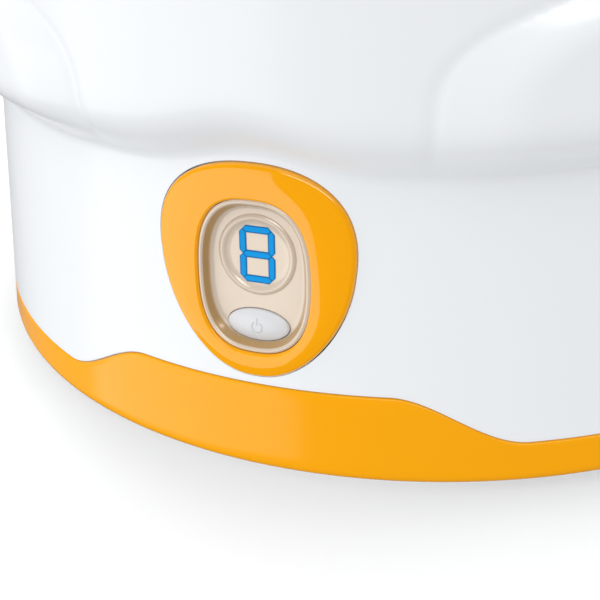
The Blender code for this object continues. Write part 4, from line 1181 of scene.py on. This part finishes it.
WELL_WALL = 1.5 * MM
WELL_FILLET = 4.0 * MM
WELL_OUTER = LEDGE_INNER - 1.5 * MM
WELL_RADIUS = WELL_OUTER - WELL_WALL


def enamel(name, colour, roughness):
    """Fired enamel: a hard gloss over a slightly wavy ground, with pinhead speckle."""
    material, shader = new_material(name)
    place = add_node(material, "ShaderNodeTexCoord").outputs["Object"]
    speckle = add_node(material, "ShaderNodeTexVoronoi", {"Vector": place, "Scale": 1 / (1.6 * MM)})
    fine = add_node(
        material,
        "ShaderNodeMapRange",
        {"Value": speckle.outputs["Distance"], "From Max": 0.12, "To Min": 0.9, "To Max": 1.0},
    )
    tone = add_node(
        material,
        "ShaderNodeMix",
        {"Factor": 1.0, "A": linear(colour), "B": fine.outputs["Result"]},
        data_type="RGBA",
        blend_type="MULTIPLY",
    )
    wave = add_node(material, "ShaderNodeTexNoise", {"Vector": place, "Scale": 1 / (9 * MM)})
    bump = add_node(
        material,
        "ShaderNodeBump",
        {"Height": wave.outputs["Fac"], "Strength": 0.5, "Distance": 0.1 * MM},
    )
    feed(material, shader, Base_Color=tone.outputs["Result"], Roughness=roughness)
    feed(material, shader, Normal=bump.outputs["Normal"], IOR=1.5)
    return material


well_foot, well_top = well_low.z, well_high.z
under_rim = well_top - WELL_WALL
inner_fillet = WELL_FILLET - WELL_WALL
well_profile = [(0, well_foot)]
well_profile += arc((WELL_OUTER - WELL_FILLET, well_foot + WELL_FILLET), WELL_FILLET, -90, 0, 8)
well_profile += [(WELL_OUTER, under_rim - 0.2 * MM), (WELL_OUTER + 0.2 * MM, under_rim)]
well_profile += arc(
    (well_high.x - WELL_WALL / 2, well_top - WELL_WALL / 2), WELL_WALL / 2, -90, 90, 8
)
well_profile += arc((WELL_RADIUS + WELL_WALL, under_rim), WELL_WALL, 90, 180, 6)
well_profile += arc((WELL_RADIUS - inner_fillet, well_foot + WELL_FILLET), inner_fillet, 0, -90, 8)
well_profile += [(0, well_foot + WELL_WALL)]
well = turned("enamelled_well", well_profile, 180)
finish(well, enamel("white_enamel", "ECEEEF", 0.16), "root", "well_white", "inner_well")


# ------------------------------------------------------------------------------------------
# Well seal. A moulded silicone ring between the rim of the well and the ledge, with two round
# sealing beads on its face, so that spilt water can't run down to the heater.

seal_low, seal_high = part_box("well_seal")
SEAL_WIDTH = 3.4 * MM
SEAL_BEAD = 0.35 * MM
SEAL_BEAD_INSET = 0.9 * MM
SEAL_EDGE = 0.3 * MM


def silicone(name, colour):
    """Translucent silicone: a soft satin skin that light sinks into a little way."""
    material, shader = new_material(name)
    place = add_node(material, "ShaderNodeTexCoord").outputs["Object"]
    dust = add_node(
        material, "ShaderNodeTexNoise", {"Vector": place, "Scale": 1 / (2 * MM), "Detail": 3.0}
    )
    mix = add_node(
        material,
        "ShaderNodeMix",
        {"Factor": dust.outputs["Fac"], "A": linear(colour, 0.93), "B": linear(colour)},
        data_type="RGBA",
    )
    bump = add_node(
        material,
        "ShaderNodeBump",
        {"Height": dust.outputs["Fac"], "Strength": 0.3, "Distance": 0.02 * MM},
    )
    feed(material, shader, Base_Color=mix.outputs["Result"], Normal=bump.outputs["Normal"])
    feed(material, shader, Roughness=0.45, IOR=1.41, Subsurface_Weight=0.3)
    feed(material, shader, Subsurface_Radius=(1, 1, 1), Subsurface_Scale=0.8 * MM)
    return material


seal_inner = seal_high.x - SEAL_WIDTH
seal_face = seal_high.z - SEAL_BEAD
seal_profile = []
for place in (seal_inner + SEAL_BEAD_INSET, seal_high.x - SEAL_BEAD_INSET):
    seal_profile += arc((place, seal_face), SEAL_BEAD, 180, 0, 6)
inward, outward = seal_inner + SEAL_EDGE, seal_high.x - SEAL_EDGE
upward, downward = seal_face - SEAL_EDGE, seal_low.z + SEAL_EDGE
for corner, start in (
    ((outward, upward), 90),
    ((outward, downward), 0),
    ((inward, downward), 270),
    ((inward, upward), 180),
):
    seal_profile += arc(corner, SEAL_EDGE, start, start - 90, 3)
seal = turned("beaded_seal", seal_profile, 180)
finish(seal, silicone("pale_silicone", "DADCDE"), "root", "silicone_seal", "well_seal")


# ------------------------------------------------------------------------------------------
# Glass jars. Seven pressed soda-lime jars for single portions: one in the middle and six round
# it. Each has a rounded heel, a shoulder, and a bead that its push-on cap snaps over.

JAR_RADIUS = 32.5 * MM
JAR_HEIGHT = 72.0 * MM
JAR_WALL = 2.4 * MM
JAR_BOTTOM = 3.4 * MM
JAR_NECK = 27.5 * MM
JAR_CIRCLE = 70.0 * MM
JAR_HEEL = 3.0 * MM
PUNT_RADIUS = 22.0 * MM
PUNT_DEPTH = 0.8 * MM
JAR_NECK_HEIGHT = 12.0 * MM
JAR_SHOULDER = 6.0 * MM
JAR_BEAD = 0.5 * MM
JAR_BEAD_DOWN = 4.0 * MM


def smooth_row(points, steps):
    """Points of a Catmull-Rom curve through the given ones, this many for each stretch."""
    points = [Vector(p) for p in points]
    padded = [2 * points[0] - points[1], *points, 2 * points[-1] - points[-2]]
    row = [tuple(points[0])]
    for a, b, c, d in zip(padded, padded[1:], padded[2:], padded[3:]):
        for k in range(1, steps + 1):
            t = k / steps
            bend = 2 * a - 5 * b + 4 * c - d
            twist = 3 * b - a - 3 * c + d
            row.append(tuple((2 * b + (c - a) * t + bend * t**2 + twist * t**3) / 2))
    return row


def clear_material(name, tint, ior, wave, wave_size):
    """Clear glass or plastic: faint waves of this size bend what shows through it, and the
    polish is a little softer where it was handled.
    """
    material, shader = new_material(name)
    place = add_node(material, "ShaderNodeTexCoord").outputs["Object"]
    skin = add_node(
        material, "ShaderNodeTexNoise", {"Vector": place, "Scale": 1 / wave_size, "Detail": 1.0}
    )
    bump = add_node(
        material,
        "ShaderNodeBump",
        {"Height": skin.outputs["Fac"], "Strength": wave, "Distance": 0.1 * MM},
    )
    handled = add_node(
        material, "ShaderNodeTexNoise", {"Vector": place, "Scale": 1 / (30 * MM), "Detail": 3.0}
    )
    rough = add_node(
        material,
        "ShaderNodeMapRange",
        {
            "Value": handled.outputs["Fac"],
            "From Min": 0.4,
            "From Max": 0.8,
            "To Min": 0.015,
            "To Max": 0.05,
        },
    )
    feed(material, shader, Roughness=rough.outputs["Result"], Normal=bump.outputs["Normal"])
    feed(material, shader, Base_Color=linear(tint), Transmission_Weight=1.0, IOR=ior)
    return material


jar_neck_foot = JAR_HEIGHT - JAR_NECK_HEIGHT
jar_shoulder = jar_neck_foot - JAR_SHOULDER
jar_inner = JAR_RADIUS - JAR_WALL
neck_inner = JAR_NECK - JAR_WALL
jar_profile = [(0, PUNT_DEPTH), (PUNT_RADIUS, PUNT_DEPTH), (PUNT_RADIUS + PUNT_DEPTH, 0)]
jar_profile += arc((JAR_RADIUS - JAR_HEEL, JAR_HEEL), JAR_HEEL, -90, 0, 8)
jar_profile += smooth_row(
    [
        (JAR_RADIUS, jar_shoulder - 2 * MM),
        (JAR_RADIUS - 0.4 * MM, jar_shoulder + 0.8 * MM),
        (JAR_NECK + 2.2 * MM, jar_neck_foot - 2.2 * MM),
        (JAR_NECK, jar_neck_foot + 0.6 * MM),
    ],
    6,
)
jar_profile += arc((JAR_NECK, JAR_HEIGHT - JAR_BEAD_DOWN), JAR_BEAD, -90, 90, 6)
jar_profile += arc((JAR_NECK - JAR_WALL / 2, JAR_HEIGHT - JAR_WALL / 2), JAR_WALL / 2, 0, 180, 10)
jar_profile += smooth_row(
    [
        (neck_inner, jar_neck_foot + 1 * MM),
        (neck_inner + 0.5 * MM, jar_neck_foot - 1 * MM),
        (jar_inner - 1.2 * MM, jar_shoulder + 0.4 * MM),
        (jar_inner, jar_shoulder - 3 * MM),
    ],
    6,
)
jar_profile += arc((jar_inner - JAR_HEEL, JAR_BOTTOM + JAR_HEEL), JAR_HEEL, 0, -90, 8)
jar_profile += [(0, JAR_BOTTOM)]
glass = clear_material("pressed_soda_lime_glass", "F2F8F6", 1.52, 0.25, 9 * MM)
jar_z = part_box("jar_1")[0].z
jar_places = [Vector((0, 0, jar_z))] + [at(math.pi / 3 * k, JAR_CIRCLE, jar_z) for k in range(6)]
for k, place in enumerate(jar_places, 1):
    jar = turned(f"glass_jar_{k}", jar_profile, 96, Matrix.Translation(place))
    finish(jar, glass, f"jar_{k}", "jar_glass", f"jar_{k}")
    jar.visible_shadow = jar.visible_diffuse = False  # so that light goes through them


# ------------------------------------------------------------------------------------------
# Jar caps. Push-on caps of white polypropylene with a ribbed skirt for the fingers, a step
# round the top and a sunken middle.

CAP_INNER = 28.4 * MM
CAP_OUTER = 30.0 * MM
CAP_SKIRT = 9.0 * MM
CAP_WALL = 1.6 * MM
CAP_RIBS = 48
RIB_DEPTH = 0.35 * MM
CAP_DISH = 9.0 * MM  # from the skirt to the foot of the sunken middle
CAP_DISH_DEPTH = 0.5 * MM
cap_under = JAR_HEIGHT + GAP
cap_top = cap_under + CAP_WALL
cap_foot = cap_top - CAP_SKIRT


def ribbed_cap(name, matrix):
    """A cap whose rings are round above and inside, and scalloped down the skirt."""
    profile = [
        (CAP_OUTER - CAP_DISH, cap_top - CAP_DISH_DEPTH, 0),
        (CAP_OUTER - CAP_DISH + 0.5 * MM, cap_top - 0.1 * MM, 0),
        (CAP_OUTER - CAP_DISH + 1 * MM, cap_top, 0),
        (CAP_OUTER - 1.8 * MM, cap_top, 0),
    ]
    step = arc((CAP_OUTER - 1.4 * MM, cap_top - 1 * MM), 1 * MM, 90, 20, 4)
    profile += [(*point, 0) for point in step]
    profile += [
        (CAP_OUTER, cap_top - 1.9 * MM, 1),
        (CAP_OUTER, cap_foot + 0.9 * MM, 1),
        (CAP_OUTER, cap_foot + 0.4 * MM, 0),
        (CAP_OUTER - 0.4 * MM, cap_foot, 0),
        (CAP_INNER + 0.3 * MM, cap_foot, 0),
        (CAP_INNER, cap_foot + 0.3 * MM, 0),
        (CAP_INNER, cap_under + 0.6 * MM, 0),
        (CAP_INNER - 0.6 * MM, cap_under, 0),
    ]
    count = CAP_RIBS * 4
    rings = []
    for radius, height, ribbed in profile:
        ring = []
        for k in range(count):
            turn = 2 * math.pi * k / count
            to_skin = radius - RIB_DEPTH * ribbed * (0.5 - 0.5 * math.cos(CAP_RIBS * turn))
            ring.append((to_skin * math.cos(turn), to_skin * math.sin(turn), height))
        rings.append(ring)
    return loft(name, rings, matrix=matrix, sharp=50)


white_pp = spark_abs("white_polypropylene", "F1F2F3", 0.36, 0.7 * MM)
for k, place in enumerate(jar_places, 1):
    cap = ribbed_cap(f"ribbed_cap_{k}", Matrix.Translation(place))
    finish(cap, white_pp, f"jar_lid_{k}", "jar_cap", f"jar_lid_{k}")


# ------------------------------------------------------------------------------------------
# Lid. A low dome of clear polycarbonate with a flat flange that covers the rim of the casing,
# and a lip under it that drops into the well.

LID_WALL = 2.5 * MM
LID_RISE = 28.0 * MM
LID_FLANGE = 6.0 * MM
LID_LIP = 3.5 * MM
LID_EDGE = 0.8 * MM
LIP_EDGE = 0.5 * MM
KNOB_HOLE = 2.3 * MM
lid_z = RIM_Z + GAP
flange_outer = LEDGE_OUTER + RIM_WALL - GAP
dome_outer = flange_outer - LID_FLANGE
lip_outer = WELL_RADIUS - 2 * GAP
lip_inner = lip_outer - LID_WALL
dome_inner = dome_outer - LID_WALL
lid_profile = [(lip_inner + LIP_EDGE, -LID_LIP), (lip_outer - LIP_EDGE, -LID_LIP)]
lid_profile += [(lip_outer, LIP_EDGE - LID_LIP), (lip_outer, -0.4 * MM), (lip_outer + 0.4 * MM, 0)]
lid_profile += arc((flange_outer - LID_EDGE, LID_EDGE), LID_EDGE, -90, 0, 5)
lid_profile += arc((flange_outer - LID_EDGE, LID_WALL - LID_EDGE), LID_EDGE, 0, 90, 5)
lid_profile += [(dome_outer + 1.4 * MM, LID_WALL), (dome_outer + 0.5 * MM, LID_WALL + 0.3 * MM)]
for across, up in arc((0, 0), 1, 0, 90, 36)[1:-1]:
    lid_profile.append((dome_outer * across, LID_WALL + LID_RISE * up))
lid_profile += [(KNOB_HOLE, LID_WALL + LID_RISE), (KNOB_HOLE, LID_RISE)]
for across, up in arc((0, 0), 1, 90, 0, 36)[1:-1]:
    lid_profile.append((dome_inner * across, LID_WALL + (LID_RISE - LID_WALL) * up))
lid_profile += [(dome_inner - 1 * MM, LID_WALL), (lip_inner + 0.6 * MM, LID_WALL)]
lid_profile += [(lip_inner, LID_WALL - 0.6 * MM), (lip_inner, LIP_EDGE - LID_LIP)]
lid = turned("clear_dome", lid_profile, 180, Matrix.Translation((0, 0, lid_z)))
clear_pc = clear_material("clear_polycarbonate", "F4F8FA", 1.585, 0.15, 25 * MM)
finish(lid, clear_pc, "lid", "clear_lid", "lid_dome")
lid.visible_shadow = lid.visible_diffuse = False  # so that daylight reaches the caps under it


# ------------------------------------------------------------------------------------------
# Knob. A turned-over mushroom of the same orange ABS as the ring, with a waist for the
# fingers. One screw holds it from inside the dome.

KNOB_RADIUS = 17.0 * MM
KNOB_HEIGHT = 16.0 * MM
KNOB_BASE = 12.5 * MM
KNOB_BORE = 8.3 * MM
KNOB_EDGE = 0.4 * MM
KNOB_SCREW_RADIUS = 2.0 * MM
KNOB_SCREW_HEAD_RADIUS = 4.5 * MM
KNOB_SCREW_HEAD = 2.4 * MM
KNOB_SCREW_EDGE = 1.2 * MM
KNOB_SCREW_SIDE = 1.6 * MM
knob_z = lid_z + LID_WALL + LID_RISE + GAP
knob_shape = [
    (0, 1.0),
    (0.3, 0.985),
    (0.6, 0.925),
    (0.85, 0.82),
    (0.97, 0.72),
    (1.0, 0.63),
    (0.96, 0.55),
    (0.8, 0.45),
    (0.62, 0.36),
    (0.53, 0.26),
    (0.54, 0.17),
    (0.62, 0.07),
]
knob_profile = smooth_row([(KNOB_RADIUS * r, KNOB_HEIGHT * z) for r, z in knob_shape], 5)
knob_profile = [(max(0.0, min(r, KNOB_RADIUS)), min(z, KNOB_HEIGHT)) for r, z in knob_profile]
knob_profile += arc((KNOB_BASE - KNOB_EDGE, KNOB_EDGE), KNOB_EDGE, 60, -90, 5)
knob_profile += [(KNOB_HOLE, 0), (KNOB_HOLE, KNOB_BORE), (0, KNOB_BORE)]
knob = turned("mushroom_knob", knob_profile, 120, Matrix.Translation((0, 0, knob_z)), sharp=50)
finish(knob, orange_abs, "lid", "orange_trim", "lid_knob")

knob_screw = pan_head_screw(
    "knob_pan_head_screw",
    "lid_knob_screw",
    KNOB_SCREW_RADIUS,
    KNOB_SCREW_HEAD_RADIUS,
    KNOB_SCREW_HEAD,
    KNOB_SCREW_EDGE,
    KNOB_SCREW_SIDE,
    64,
)
finish(knob_screw, zinc, "lid", "zinc_screw", "lid_knob_screw")


# ------------------------------------------------------------------------------------------
# Heater. A rolled aluminium plate under the well, a sheathed element clamped below it, and a
# mica disc. The thermostat, the fuse and the sensor press against the plate from below.


def dress(material, *nodes):
    """Gives its finish to each CAD piece that keeps its own form."""
    for name in nodes:
        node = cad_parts[name]
        node.data.materials.clear()
        node.data.materials.append(material)


def mica(name, pale, dark):
    """Pressed mica: overlapping silvery-brown flakes about 3 mm across, with a dull shine."""
    material, shader = new_material(name)
    place = add_node(material, "ShaderNodeTexCoord").outputs["Object"]
    flakes = add_node(material, "ShaderNodeTexVoronoi", {"Vector": place, "Scale": 1 / (3 * MM)})
    shade = add_node(material, "ShaderNodeSeparateColor", {"Color": flakes.outputs["Color"]})
    mix = add_node(
        material,
        "ShaderNodeMix",
        {"Factor": shade.outputs["Red"], "A": linear(dark), "B": linear(pale)},
        data_type="RGBA",
    )
    bump = add_node(
        material,
        "ShaderNodeBump",
        {"Height": shade.outputs["Green"], "Strength": 0.4, "Distance": 0.05 * MM},
    )
    feed(material, shader, Base_Color=mix.outputs["Result"], Normal=bump.outputs["Normal"])
    feed(material, shader, Roughness=0.42, IOR=1.58)
    return material


dress(plated_metal("rolled_aluminium", "C9CBCD", 0.34, 0.8 * MM), "heating_plate")
dress(plated_metal("annealed_steel_sheath", "8A8681", 0.42, 0.6 * MM), "heating_element")
dress(plated_metal("nickel_plated_can", "B4B6B8", 0.25, 0.7 * MM), "thermostat")
dress(mica("pressed_mica", "D2C199", "A98F5E"), "plate_insulator")
dress(enamel("glazed_ceramic", "E6E3DA", 0.2), "thermal_fuse")
dress(enamel("dipped_epoxy", "1F2F26", 0.25), "temperature_sensor")


# ------------------------------------------------------------------------------------------
# Electronics. Two green circuit boards, one on posts over the base plate and one behind the
# panel, with moulded and potted components, and PVC-insulated leads between them.


def solder_mask(name, green, track, turn):
    """A printed board: glossy green lacquer over copper tracks 4 mm long that stand a little
    proud and show paler through it.
    """
    material, shader = new_material(name)
    place = add_node(material, "ShaderNodeTexCoord").outputs["Object"]
    flat = add_node(material, "ShaderNodeMapping", {"Vector": place, "Rotation": (turn, 0, 0)})
    tracks = add_node(
        material,
        "ShaderNodeTexBrick",
        {
            "Vector": flat.outputs["Vector"],
            "Color1": linear(green),
            "Color2": linear(green, 0.85),
            "Mortar": linear(track),
            "Scale": 1 / (8 * MM),
            "Mortar Size": 0.03,
        },
    )
    bump = add_node(
        material,
        "ShaderNodeBump",
        {"Height": tracks.outputs["Fac"], "Strength": 0.5, "Distance": 0.04 * MM},
    )
    feed(material, shader, Base_Color=tracks.outputs["Color"], Normal=bump.outputs["Normal"])
    feed(material, shader, Roughness=0.3, IOR=1.55)
    return material


dress(solder_mask("green_solder_mask", "1F5C33", "3F8A52", 0.0), "power_board")
dress(solder_mask("upright_solder_mask", "1F5C33", "3F8A52", math.pi / 2), "control_board")
dress(spark_abs("black_potting", "34383E", 0.5, 1.2 * MM), "transformer")
dress(spark_abs("blue_relay_case", "2A5CA8", 0.35, 0.6 * MM), "relay")
dress(spark_abs("green_polyamide", "3B8450", 0.45, 0.6 * MM), "terminal_block")
dress(gloss_abs("shrunk_pvc_sleeve", "23262D", 0.3, 0.3), "capacitor")
dress(spark_abs("black_moulding", "18191B", 0.5, 0.5 * MM), "buzzer", "tact_switch")
dress(enamel("navy_epoxy", "1B2A4A", 0.3), "display_module")
dress(spark_abs("red_nylon", "BE4536", 0.4, 0.5 * MM), "switch_plunger")
dress(rubber("red_pvc_insulation", "A82822", 0.45), "heater_lead_live")
dress(rubber("white_pvc_insulation", "E2E2DE", 0.45), "heater_lead_neutral")
dress(rubber("grey_pvc_insulation", "3C3C40", 0.45), "display_lead")
